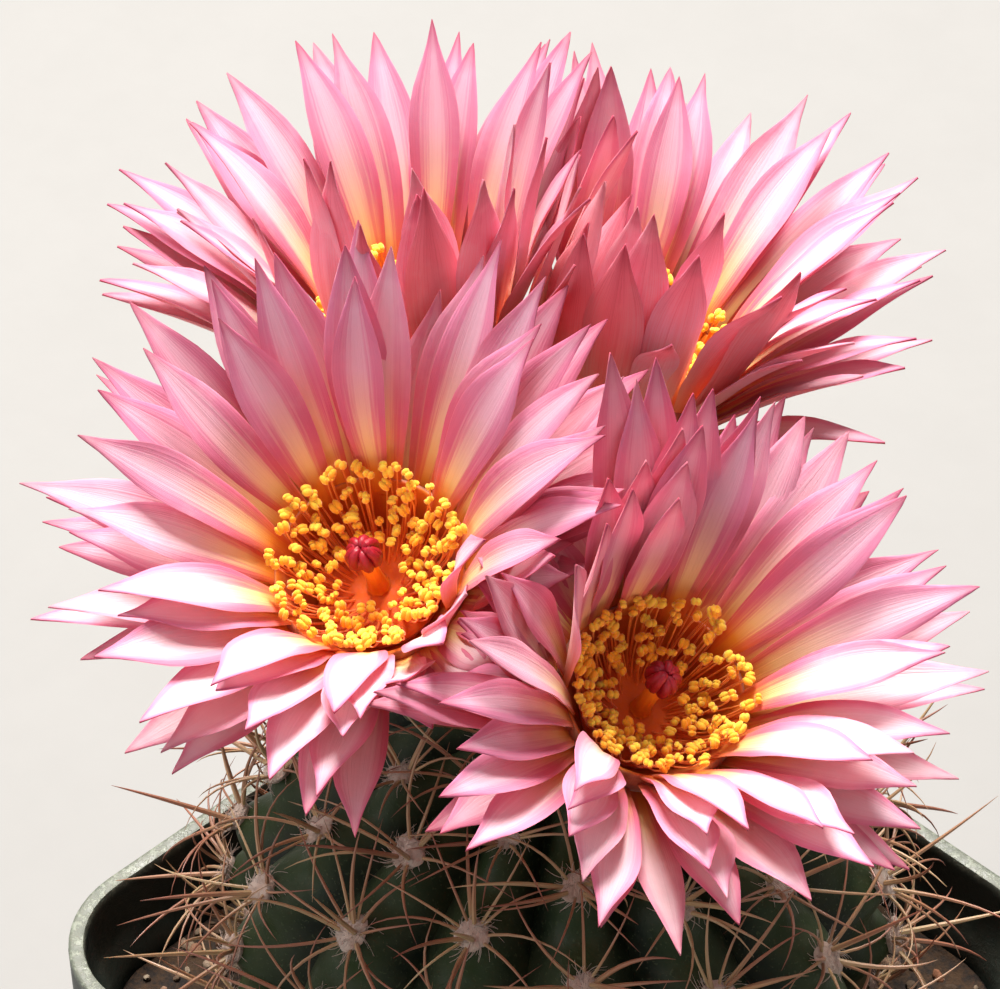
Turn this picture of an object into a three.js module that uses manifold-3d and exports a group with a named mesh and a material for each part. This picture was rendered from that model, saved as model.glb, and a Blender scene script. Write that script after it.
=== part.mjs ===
// Potted ball cactus with four open blooms, in a square nursery pot.
// Millimetres, +Z up. The origin is the centre of the pot's underside, and the pot's sides run along X and Y.
// The plant is modelled about the centre of the pot's rim, in a frame turned by PLANT_TURN, where -Y is its front.

import * as THREE from 'three';
import { mergeVertices } from 'three/addons/utils/BufferGeometryUtils.js';
import Module from 'manifold-3d';

const wasm = await Module();
wasm.setup();

// Driving dimensions of the pot
const POT_HEIGHT = 80;
const RIM_WIDTH = 90;
const RIM_CORNER = 13.4;
const RIM_LIP = 1.9;
const COLLAR_HEIGHT = 9;
const COLLAR_STEP = 2.6;
const FOOT_WIDTH = 67;
const FOOT_CORNER = 10;
const POT_WALL = 1.5;
const POT_FLOOR = 2;
const DRAIN_RADIUS = 3.2;
const DRAIN_PLACE = 17;
const FOOT_ROUNDING = 1.2;
const RIM_ROUNDING = 0.5;
const COLLAR_SLOPE = 0.8;
const CORNER_STEPS = 4;

// Driving dimensions of the soil
const SEAT_GAP = 0.3;
const SOIL_DROP = 12;
const SOIL_RELIEF = 0.9;
const SOIL_RINGS = 3;
const SOIL_EDGE = 0.5;
const SEAT_RADIUS_GAP = 0.9;
const SEAT_RISE_GAP = 0.7;

// Driving dimensions of the stem
const PLANT_TURN = Math.PI / 4;
const BODY_RADIUS = 38.2;
const BODY_RISE = 30;
const BODY_MIDDLE = 6;
const RIBS = 14;
const RIB_PHASE = 4.5;
const RIB_DEPTH = 5;
const CHIN = 1.3;
const AREOLE_PITCH = 17.5;
const AREOLE_START = 4.8;
const AREOLE_DRIFT = 1.4;
const AREOLE_LOWEST = -6;
const AREOLE_HIGHEST = 60;
const TUFT_RADIUS = 2.2;
const TUFT_SUNK = 1.8;
const TUFT_RISE = 1.2;
const SPINE_RADIUS = 0.42;
const SPINES_EACH = 3;
const CENTRAL_SPINE = { lean: 22, leanRange: 12, length: 16, bow: 0.4 };
const RADIAL_SPINE = { lean: 62, leanRange: 9, length: 14, bow: 0.9 };
const SPINE_LENGTH_RANGE = 2.5;
const POT_CLEARANCE = 1.4;
const BLOOM_CLEARANCE = 1.6;

// Driving dimensions of a bloom, measured along its own axis from its base
const THROAT = 30;
const RECEPTACLE_TOP = 18.2;
const RECEPTACLE_ROOT = 4.4;
const RECEPTACLE_HEAD = 8.3;
const SOCKET_DEPTH = 2.4;
const CUP_FLOOR = 1.5;
const BLADE_THICKNESS = 1.0;
const BLADE_TROUGH = 0.14;
const BLADE_MARGIN = 0.8;
const LAYER_STEP = 0.9;
const STAMENS = 12;
const ANTHER_RING = 9.3;
const STYLE_RADIUS = 1.0;
const STIGMA_RADIUS = 2.3;
const STIGMA_LOBES = 6;
const SCALE_RELIEF = 0.07;
const CUP_RADIUS = 9;
const BLOOM_REACH = 44;
const UNDERSIDE_HEIGHT = 16;
const UNDERSIDE_SLOPE = 0.26;
const PETAL_ROOT_SUNK = 1.2;
const DISC_RADIUS = 6.8;
const DISC_THICKNESS = 1.3;
const ANTHER_HEIGHT = 30.2;
const INNER_ANTHER_HEIGHT = 27.6;
const INNER_ANTHER_RING = 6.2;
const ANTHER_RADIUS = 0.95;
const ANTHER_CROWN = 0.8;
const ANTHER_NECK = 1.1;
const ANTHER_ROOM = 2.4;
const FILAMENT_RADIUS = 0.42;
const FILAMENT_TOP_RADIUS = 0.36;
const SOCKET_CLEARANCE = 0.45;
const SOCKET_LENGTH = 8.4;

// One ring of petals each: how many, where its roots lie, how far root and tip lean out, length and width
const WHORLS = [
  { count: 9, phase: 0.0, radius: 9.9, height: 26.9, rootLean: 24, tipLean: 55, length: 27.0, width: 7.0 },
  { count: 11, phase: 0.5, radius: 10.2, height: 24.8, rootLean: 36, tipLean: 64, length: 29.0, width: 7.4 },
  { count: 11, phase: 0.0, radius: 10.1, height: 22.6, rootLean: 47, tipLean: 73, length: 29.5, width: 7.4 },
  { count: 7, phase: 0.3, radius: 9.4, height: 20.4, rootLean: 57, tipLean: 82, length: 27.0, width: 6.6 },
];
const GUIDE_WHORL = 2;
// Petals on the low side of a tilted bloom rise by this, in degrees for a petal that would point straight down
const LOW_SIDE_RISE = 40;

// The blooms: throat place, tilt and its heading, size, how wide they open, the least that a petal leans out
// where it is crowded, and where the bloom's root lies on the body
const BLOOMS = [
  { name: 'bloom_front_left', throat: [-21, -3, 63.6], tilt: 27, heading: -18, size: 1, open: 1, closed: 20,
    root: [-14.5, 9] },
  { name: 'bloom_front_right', throat: [9.9, -17, 58.9], tilt: 27, heading: 30, size: 0.95, open: 1, closed: 2,
    root: [4, -5.5] },
  { name: 'bloom_back_left', throat: [-16.4, 30.3, 71], tilt: 5, heading: -90, size: 1.04, open: 0.84, closed: -18,
    root: [-11, 20] },
  { name: 'bloom_back_right', throat: [8, 29.2, 68.3], tilt: 8, heading: 90, size: 1.04, open: 0.88, closed: -16,
    root: [5, 18.5] },
];

// Planes between neighbouring blooms: a point on each, and its normal towards the second bloom.
// Where two are given, the second bloom keeps to the inner side of both.
const DIVIDERS = [
  { between: [0, 1], walls: [
    { at: [-4.9, -10.3, 61], normal: [0.66, -0.64, -0.4] },
    { at: [-16, -14, 60.8], normal: [0.99, -0.179, 0.024] },
  ] },
  { between: [0, 2], walls: [{ at: [-16, 11.3, 62], normal: [0.08, 0.95, -0.22] }] },
  { between: [1, 3], walls: [{ at: [10, 5.5, 60], normal: [0, 0.97, -0.22] }] },
  { between: [2, 3], walls: [{ at: [-2.9, 28, 66.5], normal: [0.98, -0.05, -0.16] }] },
  { between: [0, 3], walls: [{ at: [-3.5, 11.5, 61], normal: [0.62, 0.72, -0.28] }] },
  { between: [1, 2], walls: [{ at: [-1, 5.5, 60], normal: [-0.45, 0.84, -0.3] }] },
];

const COLOURS = {
  pot: 0x2c352e, soil: 0x4a3a2c, stem: 0x3f5233, receptacle: 0x8a5a4a,
  tepals: 0xe79fb4, stamens: 0xf0ad1e, style: 0xd9782a, stigma: 0x7d1230,
};

const radians = THREE.MathUtils.degToRad;
const vector = (x, y, z) => new THREE.Vector3(x, y, z);

// A repeatable draw from -1 to 1 for item number i, one series for each salt
function draw(i, salt) {
  const value = Math.sin(i * 127.1 + salt * 311.7) * 43758.5453;
  return 2 * (value - Math.floor(value)) - 1;
}

// A closed solid from points and triangles, turned face out
function solidOf(points, triangles) {
  const place = new Float32Array(points.flatMap((p) => [p.x, p.y, p.z]));
  const build = (corners) => new wasm.Manifold(new wasm.Mesh({
    numProp: 3, vertProperties: place, triVerts: new Uint32Array(corners.flat()),
  }));
  const made = build(triangles);
  return made.volume() < 0 ? build(triangles.map(([a, b, c]) => [a, c, b])) : made;
}

// A three.js geometry as a solid
function solidFrom(geometry) {
  geometry.deleteAttribute('normal');
  geometry.deleteAttribute('uv');
  const merged = mergeVertices(geometry, 1e-4);
  const place = merged.getAttribute('position');
  const points = Array.from({ length: place.count }, (_, i) => vector(place.getX(i), place.getY(i), place.getZ(i)));
  const index = merged.getIndex();
  const triangles = [];
  for (let i = 0; i < index.count; i += 3) {
    const corners = [index.getX(i), index.getX(i + 1), index.getX(i + 2)];
    if (new Set(corners).size === 3) triangles.push(corners);
  }
  return solidOf(points, triangles);
}

// A skin over rings of points; a ring of one point is a tip
function loft(rings) {
  const points = rings.flat();
  const starts = [0];
  rings.forEach((ring) => starts.push(starts.at(-1) + ring.length));
  const triangles = [];
  for (let i = 0; i + 1 < rings.length; i += 1) {
    const near = rings[i].length;
    const far = rings[i + 1].length;
    const sides = Math.max(near, far);
    for (let k = 0; k < sides; k += 1) {
      const next = (k + 1) % sides;
      const nearHere = starts[i] + (near === 1 ? 0 : k);
      const nearNext = starts[i] + (near === 1 ? 0 : next);
      const farHere = starts[i + 1] + (far === 1 ? 0 : k);
      const farNext = starts[i + 1] + (far === 1 ? 0 : next);
      if (near > 1) triangles.push([nearHere, nearNext, farNext]);
      if (far > 1) triangles.push([nearHere, farNext, farHere]);
    }
  }
  const close = (start, count, flip) => {
    for (let k = 1; k + 1 < count; k += 1) {
      triangles.push(flip ? [start, start + k + 1, start + k] : [start, start + k, start + k + 1]);
    }
  };
  close(starts[0], rings[0].length, true);
  close(starts[rings.length - 1], rings.at(-1).length, false);
  return solidOf(points, triangles);
}

const join = (solids) => wasm.Manifold.union(solids);

// The largest body of a solid, so that no loose scrap stays
function largest(solid) {
  return solid.decompose().reduce((best, piece) => (piece.volume() > best.volume() ? piece : best));
}

function meshOf(name, solid, kind) {
  const { numProp, vertProperties, triVerts } = solid.getMesh();
  const place = new Float32Array((vertProperties.length / numProp) * 3);
  for (let i = 0; i < place.length / 3; i += 1) {
    place.set(vertProperties.subarray(i * numProp, i * numProp + 3), i * 3);
  }
  const geometry = new THREE.BufferGeometry();
  geometry.setAttribute('position', new THREE.BufferAttribute(place, 3));
  geometry.setIndex(new THREE.BufferAttribute(new Uint32Array(triVerts), 1));
  geometry.computeVertexNormals();
  const material = new THREE.MeshStandardMaterial({ color: COLOURS[kind], roughness: 0.7, metalness: 0 });
  const mesh = new THREE.Mesh(geometry, material);
  mesh.name = name;
  return mesh;
}

// Points round a square with rounded corners, in the XY plane at height z
function squareRing(half, corner, z) {
  const centre = half - corner;
  const ring = [];
  for (let side = 0; side < 4; side += 1) {
    const middle = Math.PI / 4 + (side * Math.PI) / 2;
    const x = Math.sign(Math.cos(middle)) * centre;
    const y = Math.sign(Math.sin(middle)) * centre;
    for (let k = 0; k <= CORNER_STEPS; k += 1) {
      const angle = middle + (k / CORNER_STEPS - 0.5) * (Math.PI / 2);
      ring.push(vector(x + corner * Math.cos(angle), y + corner * Math.sin(angle), z));
    }
  }
  return ring;
}

// Half width and corner radius of the pot's outer wall below the collar
function wallAt(z) {
  const collarFoot = POT_HEIGHT - COLLAR_HEIGHT;
  const share = z / collarFoot;
  const half = THREE.MathUtils.lerp(FOOT_WIDTH / 2, RIM_WIDTH / 2 - COLLAR_STEP, share);
  return { half, corner: THREE.MathUtils.lerp(FOOT_CORNER, RIM_CORNER - COLLAR_STEP, share) };
}

function makePot() {
  const collarFoot = POT_HEIGHT - COLLAR_HEIGHT;
  const rim = RIM_WIDTH / 2;
  const foot = wallAt(FOOT_ROUNDING);
  const neck = wallAt(collarFoot);
  const outside = [
    squareRing(FOOT_WIDTH / 2 - FOOT_ROUNDING, FOOT_CORNER - FOOT_ROUNDING, 0),
    squareRing(foot.half, foot.corner, FOOT_ROUNDING),
    squareRing(neck.half, neck.corner, collarFoot),
    squareRing(rim - RIM_ROUNDING, RIM_CORNER - RIM_ROUNDING, collarFoot + COLLAR_SLOPE),
    squareRing(rim, RIM_CORNER, POT_HEIGHT - RIM_ROUNDING),
    squareRing(rim - RIM_ROUNDING, RIM_CORNER - RIM_ROUNDING, POT_HEIGHT),
  ];
  const inner = wallAt(POT_FLOOR);
  const inside = [
    squareRing(inner.half - POT_WALL, inner.corner - POT_WALL, POT_FLOOR),
    squareRing(neck.half - POT_WALL, neck.corner - POT_WALL, collarFoot),
    squareRing(rim - RIM_LIP - RIM_ROUNDING, RIM_CORNER - RIM_LIP - RIM_ROUNDING, collarFoot + COLLAR_STEP),
    squareRing(rim - RIM_LIP, RIM_CORNER - RIM_LIP, POT_HEIGHT + 1),
  ];
  const drains = [[1, 1], [1, -1], [-1, 1], [-1, -1]].map(([x, y]) => {
    const hole = new THREE.CylinderGeometry(DRAIN_RADIUS, DRAIN_RADIUS, 3 * POT_FLOOR, 10);
    hole.rotateX(Math.PI / 2);
    hole.translate(x * DRAIN_PLACE, y * DRAIN_PLACE, POT_FLOOR / 2);
    return solidFrom(hole);
  });
  return loft(outside).subtract(join([loft(inside), ...drains]));
}

// Latitude, in degrees, of the body where it enters the soil
const SOIL_LATITUDE = THREE.MathUtils.radToDeg(Math.asin((-SOIL_DROP - BODY_MIDDLE) / BODY_RISE));

function makeSoil() {
  const level = POT_HEIGHT - SOIL_DROP;
  const low = wallAt(POT_FLOOR);
  const high = wallAt(level);
  const inset = POT_WALL + SEAT_GAP;
  const rings = [
    squareRing(low.half - inset, low.corner - inset, POT_FLOOR + SEAT_GAP),
    squareRing(high.half - inset, high.corner - inset, level - SOIL_EDGE),
  ];
  const mouth = BODY_RADIUS * Math.cos(radians(SOIL_LATITUDE)) - 2;
  for (let k = 1; k <= SOIL_RINGS; k += 1) {
    const share = k / SOIL_RINGS;
    const half = THREE.MathUtils.lerp(high.half - inset, mouth, share);
    const corner = THREE.MathUtils.lerp(high.corner - inset, mouth, share);
    const ring = squareRing(half, corner, level);
    ring.forEach((point, i) => point.setZ(level + SOIL_RELIEF * draw(i + 40 * k, 5)));
    rings.push(ring);
  }
  const hollow = new THREE.SphereGeometry(1, 20, 12);
  hollow.rotateX(Math.PI / 2);
  hollow.scale(BODY_RADIUS + SEAT_RADIUS_GAP, BODY_RADIUS + SEAT_RADIUS_GAP, BODY_RISE + SEAT_RISE_GAP);
  hollow.translate(0, 0, POT_HEIGHT + BODY_MIDDLE);
  return largest(loft(rings).subtract(solidFrom(hollow)));
}

// The ribbed body

const ribAngle = (rib) => RIB_PHASE + (rib * 360) / RIBS;

// Latitudes of the areoles of a rib, lifted from rib to rib as a spiral lifts them
function areoleShift(rib) {
  const turn = ((rib + RIBS / 2) % RIBS + RIBS) % RIBS - RIBS / 2;
  const odd = Math.abs(turn % 2) === 1;
  return AREOLE_START + AREOLE_DRIFT * turn + (odd ? AREOLE_PITCH / 2 : 0);
}

// How full the ribs are at a latitude: whole on the flank, low at the crown, none in the soil
function ribFullness(latitude) {
  const foot = THREE.MathUtils.smoothstep(latitude, SOIL_LATITUDE + 1, SOIL_LATITUDE + 22);
  const crown = 1 - 0.6 * THREE.MathUtils.smoothstep(latitude, 55, 88);
  return foot * crown;
}

// A point on the body: azimuth from the plant's front towards its right, and latitude, in degrees
function bodyPoint(azimuth, latitude) {
  const turn = (azimuth - RIB_PHASE) / (360 / RIBS);
  const rib = Math.round(turn);
  const crest = Math.abs(Math.cos(Math.PI * (turn - rib)));
  const step = (latitude - areoleShift(rib)) / AREOLE_PITCH;
  const chin = CHIN * Math.cos(2 * Math.PI * (step - Math.round(step) + 0.06)) * crest * crest;
  const swell = ribFullness(latitude) * (chin - RIB_DEPTH * (1 - crest));
  const angle = radians(azimuth);
  const up = radians(latitude);
  const out = (BODY_RADIUS + swell) * Math.cos(up);
  const rise = (BODY_RISE + 0.8 * swell) * Math.sin(up);
  return vector(out * Math.sin(angle), -out * Math.cos(angle), BODY_MIDDLE + rise);
}

function makeBody() {
  const columns = RIBS * 4;
  const half = AREOLE_PITCH / 2;
  const rows = [-60, -40];
  for (let latitude = -27; latitude < 75; latitude += half) rows.push(latitude);
  const rings = rows.map((latitude) => Array.from({ length: columns }, (_, k) => {
    const rib = Math.floor(k / 4);
    const share = (k % 4) / 4;
    const wrap = (value) => ((value % half) + half) % half;
    const shear = THREE.MathUtils.lerp(wrap(areoleShift(rib)), wrap(areoleShift((rib + 1) % RIBS)), share) - half / 2;
    const free = Math.min(1, Math.max(0, (latitude + 36) / 12)) * Math.min(1, Math.max(0, (80 - latitude) / 12));
    return bodyPoint(ribAngle(rib + share), latitude + shear * free);
  }));
  return loft([[bodyPoint(0, -90)], ...rings, [bodyPoint(RIB_PHASE, 90)]]);
}

// Blooms: each has a base, three axes and a scale

function frameOf(bloom) {
  const tilt = radians(bloom.tilt);
  const heading = radians(bloom.heading);
  const w = vector(Math.sin(tilt) * Math.sin(heading), -Math.sin(tilt) * Math.cos(heading), Math.cos(tilt));
  const u = vector(0, 1, 0).cross(w).normalize();
  const v = vector(0, 0, 0).crossVectors(w, u);
  const base = vector(...bloom.throat).addScaledVector(w, -THROAT * bloom.size);
  return { ...bloom, u, v, w, base };
}

const FRAMES = BLOOMS.map(frameOf);

// A point of a bloom at an angle round its axis, a distance from it and a height along it
function bloomPoint(bloom, angle, radius, height) {
  return bloom.base.clone()
    .addScaledVector(bloom.u, Math.cos(angle) * radius * bloom.size)
    .addScaledVector(bloom.v, Math.sin(angle) * radius * bloom.size)
    .addScaledVector(bloom.w, height * bloom.size);
}

const WALLS = DIVIDERS.map(({ between, walls }) => ({
  between,
  walls: walls.map(({ at, normal }) => ({ at: vector(...at), normal: vector(...normal).normalize() })),
}));

// The dividers of a bloom, each with the sign of the bloom's own side
const dividersOf = (index) => WALLS.filter(({ between }) => between.includes(index))
  .map(({ between, walls }) => ({ walls, side: between[0] === index ? -1 : 1 }));

// How far a point lies beyond a divider, with the margin that is kept from it
function trespass({ walls, side }, point, margin) {
  const depth = Math.min(...walls.map(({ at, normal }) => point.clone().sub(at).dot(normal)));
  return margin - side * depth;
}

// Outline of a petal: share of its full width along its length
function petalWidth(t) {
  if (t <= 0.58) return 0.44 + 0.56 * Math.sin((t / 0.58) * (Math.PI / 2)) ** 1.3;
  return Math.max(1 - ((t - 0.58) / 0.42) ** 1.75, 0.02);
}

const PETAL_STEPS = 10;

// Centre line of a petal, with its half width, its outer normal and its side direction at each step
function petalLine(bloom, petal) {
  const out = bloom.u.clone().multiplyScalar(Math.cos(petal.angle)).addScaledVector(bloom.v, Math.sin(petal.angle));
  const side = bloom.u.clone().multiplyScalar(-Math.sin(petal.angle)).addScaledVector(bloom.v, Math.cos(petal.angle));
  const point = bloomPoint(bloom, petal.angle, petal.radius, petal.height);
  const line = [];
  for (let k = 0; k <= PETAL_STEPS; k += 1) {
    const t = k / PETAL_STEPS;
    const blend = 0.6 * t * t * (3 - 2 * t) + 0.4 * t;
    const lean = radians(THREE.MathUtils.lerp(petal.rootLean, petal.tipLean, blend));
    const along = out.clone().multiplyScalar(Math.sin(lean)).addScaledVector(bloom.w, Math.cos(lean));
    const normal = out.clone().multiplyScalar(Math.cos(lean)).addScaledVector(bloom.w, -Math.sin(lean));
    line.push({ point: point.clone(), half: 0.5 * petal.width * petalWidth(t), normal, side, along });
    point.addScaledVector(along, petal.length / PETAL_STEPS);
  }
  return line;
}

const petalEdge = ({ point, half, normal, side }, sign) => point.clone()
  .addScaledVector(side, sign * half).addScaledVector(normal, -BLADE_TROUGH * half);

function isClear(line, dividers, margin) {
  return dividers.every((divider) => line.every((step) => [-1, 0, 1].every((sign) => (
    trespass(divider, petalEdge(step, sign), margin) <= 0))));
}

const CLOSE_STEP = 3;
const SHORTEN_STEP = 0.06;
const HIDDEN_BEYOND = 38;

// Closes a petal in steps until it clears the dividers, then shortens it; null if it still can't
function fitPetal(bloom, petal, dividers, margin, leastLean) {
  let closing = 0;
  for (; petal.tipLean - closing > leastLean; closing += CLOSE_STEP) {
    const closed = { ...petal, rootLean: petal.rootLean - 0.45 * closing, tipLean: petal.tipLean - closing };
    if (isClear(petalLine(bloom, closed), dividers, margin)) return { petal: closed, closing };
  }
  for (let share = 1 - SHORTEN_STEP; share > 0.5 - SHORTEN_STEP; share -= SHORTEN_STEP) {
    const cut = { ...petal, rootLean: petal.rootLean - 0.45 * closing, tipLean: petal.tipLean - closing,
      length: petal.length * share, width: petal.width * (0.4 + 0.6 * share) };
    if (isClear(petalLine(bloom, cut), dividers, margin)) return { petal: cut, closing };
  }
  return { petal: null, closing };
}

// Which way round the axis a petal turns to get away from the nearest divider, from -1 to 1
function turnAway(bloom, angle, dividers) {
  let nearest = -2;
  let turn = 0;
  dividers.forEach(({ walls, side }) => {
    const heading = walls[0].normal.clone().multiplyScalar(-side);
    const toWall = angle - Math.atan2(heading.dot(bloom.v), heading.dot(bloom.u));
    if (Math.cos(toWall) > nearest) {
      nearest = Math.cos(toWall);
      turn = Math.sin(toWall);
    }
  });
  return THREE.MathUtils.clamp(2.5 * turn, -1, 1);
}

// How far down a petal at an angle would point from the bloom's axis, from 0 to 1
const lowSide = (bloom, angle) => Math.max(0, -(bloom.u.z * Math.cos(angle) + bloom.v.z * Math.sin(angle)));

// Every petal of a bloom, after crowding by its neighbours
function petalsOf(index) {
  const bloom = FRAMES[index];
  const dividers = dividersOf(index);
  const petals = [];
  const guide = WHORLS[GUIDE_WHORL];
  WHORLS.forEach((whorl, ring) => {
    for (let k = 0; k < whorl.count; k += 1) {
      const seed = (index + 1) * 100 + ring * 20 + k;
      const petal = {
        ring,
        angle: (2 * Math.PI * (k + whorl.phase + 0.14 * draw(seed, 1))) / whorl.count,
        radius: whorl.radius,
        height: whorl.height,
        length: whorl.length * bloom.size * (1 + 0.08 * draw(seed, 2)),
        width: whorl.width * bloom.size * (1 + 0.1 * draw(seed, 3)),
        rootLean: whorl.rootLean * bloom.open,
        tipLean: whorl.tipLean * bloom.open + 4 * draw(seed, 4),
      };
      const rise = LOW_SIDE_RISE * lowSide(bloom, petal.angle);
      petal.rootLean -= 0.45 * rise;
      petal.tipLean -= rise;
      const crowding = (angle) => fitPetal(bloom, { ...petal, angle, radius: guide.radius, height: guide.height,
        rootLean: guide.rootLean * bloom.open, tipLean: guide.tipLean * bloom.open },
      dividers, 1, bloom.closed + 10).closing;
      petal.angle += radians(0.26 * Math.min(crowding(petal.angle), 60)) * turnAway(bloom, petal.angle, dividers);
      const pressed = crowding(petal.angle);
      const most = guide.tipLean * bloom.open - pressed + 4 * (ring - GUIDE_WHORL);
      if (pressed > 0 && petal.tipLean > most) {
        petal.rootLean -= 0.45 * (petal.tipLean - most);
        petal.tipLean = most;
      }
      const margin = BLADE_MARGIN + LAYER_STEP * (WHORLS.length - 1 - ring);
      const fitted = fitPetal(bloom, petal, dividers, margin, bloom.closed + 4 * ring);
      const isHidden = ring === WHORLS.length - 1 && pressed > HIDDEN_BEYOND;
      if (fitted.petal && !isHidden) petals.push(fitted.petal);
    }
  });
  return petals;
}

const BLADE_STOPS = [0, 4, 7];

// One petal as a blade of lens section, split alike on both faces
function makeBlade(bloom, petal) {
  const line = petalLine(bloom, petal);
  const points = [];
  const root = line[0].along.clone().multiplyScalar(-PETAL_ROOT_SUNK);
  BLADE_STOPS.forEach((stop) => {
    const step = line[stop];
    const mid = 0.5 * BLADE_THICKNESS * (stop === BLADE_STOPS.at(-1) ? 0.8 : 1);
    const sunk = stop === 0 ? root : vector(0, 0, 0);
    points.push(petalEdge(step, -1).add(sunk));
    points.push(step.point.clone().addScaledVector(step.normal, -mid).add(sunk));
    points.push(petalEdge(step, 1).add(sunk));
    points.push(step.point.clone().addScaledVector(step.normal, mid).add(sunk));
  });
  points.push(line.at(-1).point);
  const triangles = [[0, 1, 3], [1, 2, 3]];
  for (let i = 0; i + 1 < BLADE_STOPS.length; i += 1) {
    const near = 4 * i;
    const far = near + 4;
    [0, 2].forEach((edge) => [1, 3].forEach((mid) => {
      const turned = (edge === 0) === (mid === 1);
      const first = [near + edge, near + mid, far + mid];
      const second = [near + edge, far + mid, far + edge];
      triangles.push(turned ? first.reverse() : first, turned ? second.reverse() : second);
    }));
  }
  const last = 4 * (BLADE_STOPS.length - 1);
  const tip = last + 4;
  [0, 1, 2, 3].forEach((k) => triangles.push([last + ((k + 1) % 4), last + k, tip]));
  return solidOf(points, triangles);
}

// A solid of revolution in a bloom's own frame, from radius and height pairs
function turned(bloom, profile, sides) {
  return loft(profile.map(([radius, height]) => (radius === 0
    ? [bloomPoint(bloom, 0, 0, height)]
    : Array.from({ length: sides }, (_, k) => bloomPoint(bloom, (2 * Math.PI * k) / sides, radius, height)))));
}

const CUP_BOTTOM = RECEPTACLE_TOP + SEAT_GAP;
const CUP_INSIDE = CUP_BOTTOM + CUP_FLOOR;

function makeTepals(index) {
  const bloom = FRAMES[index];
  const cup = turned(bloom, [
    [0, CUP_BOTTOM], [7.9, CUP_BOTTOM], [9.8, 21.5], [10.7, 24.5], [10.9, 27.2], [9.6, 27.2],
    [8.6, 23.4], [7.4, CUP_INSIDE], [0, CUP_INSIDE],
  ], 11);
  return largest(join([cup, ...petalsOf(index).map((petal) => makeBlade(bloom, petal))]));
}

// How far from the axis the petals of the inner ring stand, at an angle and up to a height
function innerRoom(bloom, petals, angle, height) {
  let room = ANTHER_RING + 1.5;
  petals.filter(({ ring }) => ring === 0).forEach((petal) => {
    const apart = Math.abs(Math.atan2(Math.sin(angle - petal.angle), Math.cos(angle - petal.angle)));
    if (apart > 0.6) return;
    petalLine(bloom, petal).forEach((step) => [-1, 0, 1].forEach((sign) => {
      const from = petalEdge(step, sign).sub(bloom.base);
      const rise = from.dot(bloom.w);
      if (rise > (height + 2) * bloom.size) return;
      room = Math.min(room, from.addScaledVector(bloom.w, -rise).length() / bloom.size);
    }));
  });
  return room;
}

// Corners round an axis at a centre
function cornerRing(centre, along, radius, sides) {
  const across = Math.abs(along.z) < 0.9 ? vector(0, 0, 1) : vector(1, 0, 0);
  const side = across.cross(along).normalize();
  const other = vector(0, 0, 0).crossVectors(along, side);
  return Array.from({ length: sides }, (_, k) => centre.clone()
    .addScaledVector(side, radius * Math.cos((2 * Math.PI * k) / sides))
    .addScaledVector(other, radius * Math.sin((2 * Math.PI * k) / sides)));
}

// A three-sided stalk through points with their radii, ending in a tip
function makeStalk(stops, tip) {
  const along = tip.clone().sub(stops[0][0]).normalize();
  return loft([...stops.map(([point, radius]) => cornerRing(point, along, radius, 3)), [tip]]);
}

// A tuft of wool: a ring of corners between a sunk point and a top
function makeTuft(centre, normal) {
  const bottom = centre.clone().addScaledVector(normal, -TUFT_SUNK);
  const top = centre.clone().addScaledVector(normal, TUFT_RISE);
  return loft([[bottom], cornerRing(centre, normal, TUFT_RADIUS, 4), [top]]);
}

const DISC_BOTTOM = CUP_INSIDE + SEAT_GAP;
const DISC_TOP = DISC_BOTTOM + DISC_THICKNESS;

function makeStamens(index) {
  const bloom = FRAMES[index];
  const petals = petalsOf(index);
  const solids = [turned(bloom, [[0, DISC_BOTTOM], [DISC_RADIUS - 0.2, DISC_BOTTOM], [DISC_RADIUS, DISC_TOP - 0.2],
    [DISC_RADIUS - 1.2, DISC_TOP], [0, DISC_TOP]], 10)];
  for (let k = 0; k < STAMENS; k += 1) {
    const seed = 900 + index * 60 + k;
    const inner = k % 3 === 2;
    const angle = (2 * Math.PI * (k + 0.35 * draw(seed, 1))) / STAMENS;
    const height = (inner ? INNER_ANTHER_HEIGHT : ANTHER_HEIGHT) + 0.7 * draw(seed, 2);
    const room = innerRoom(bloom, petals, angle, height);
    const ring = inner ? INNER_ANTHER_RING : ANTHER_RING;
    const reach = Math.min(ring + 0.4 * draw(seed, 3), room - ANTHER_ROOM);
    const root = bloomPoint(bloom, angle, Math.min(inner ? 4.2 : 5.8, reach + 1), DISC_TOP - 0.6);
    const anther = bloomPoint(bloom, angle, reach, height);
    const along = anther.clone().sub(root).normalize();
    const neck = anther.clone().addScaledVector(along, -ANTHER_NECK);
    const crown = anther.clone().addScaledVector(along, ANTHER_CROWN);
    solids.push(makeStalk([[root, FILAMENT_RADIUS], [neck, FILAMENT_TOP_RADIUS], [anther, ANTHER_RADIUS]], crown));
  }
  return largest(join(solids));
}

const STYLE_TOP = THROAT - 1;

function makeStyle(index) {
  const bottom = DISC_TOP + SEAT_GAP;
  return turned(FRAMES[index], [[0, bottom], [STYLE_RADIUS * 1.2, bottom], [STYLE_RADIUS, bottom + 1.5],
    [STYLE_RADIUS, STYLE_TOP], [0, STYLE_TOP]], 6);
}

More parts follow.
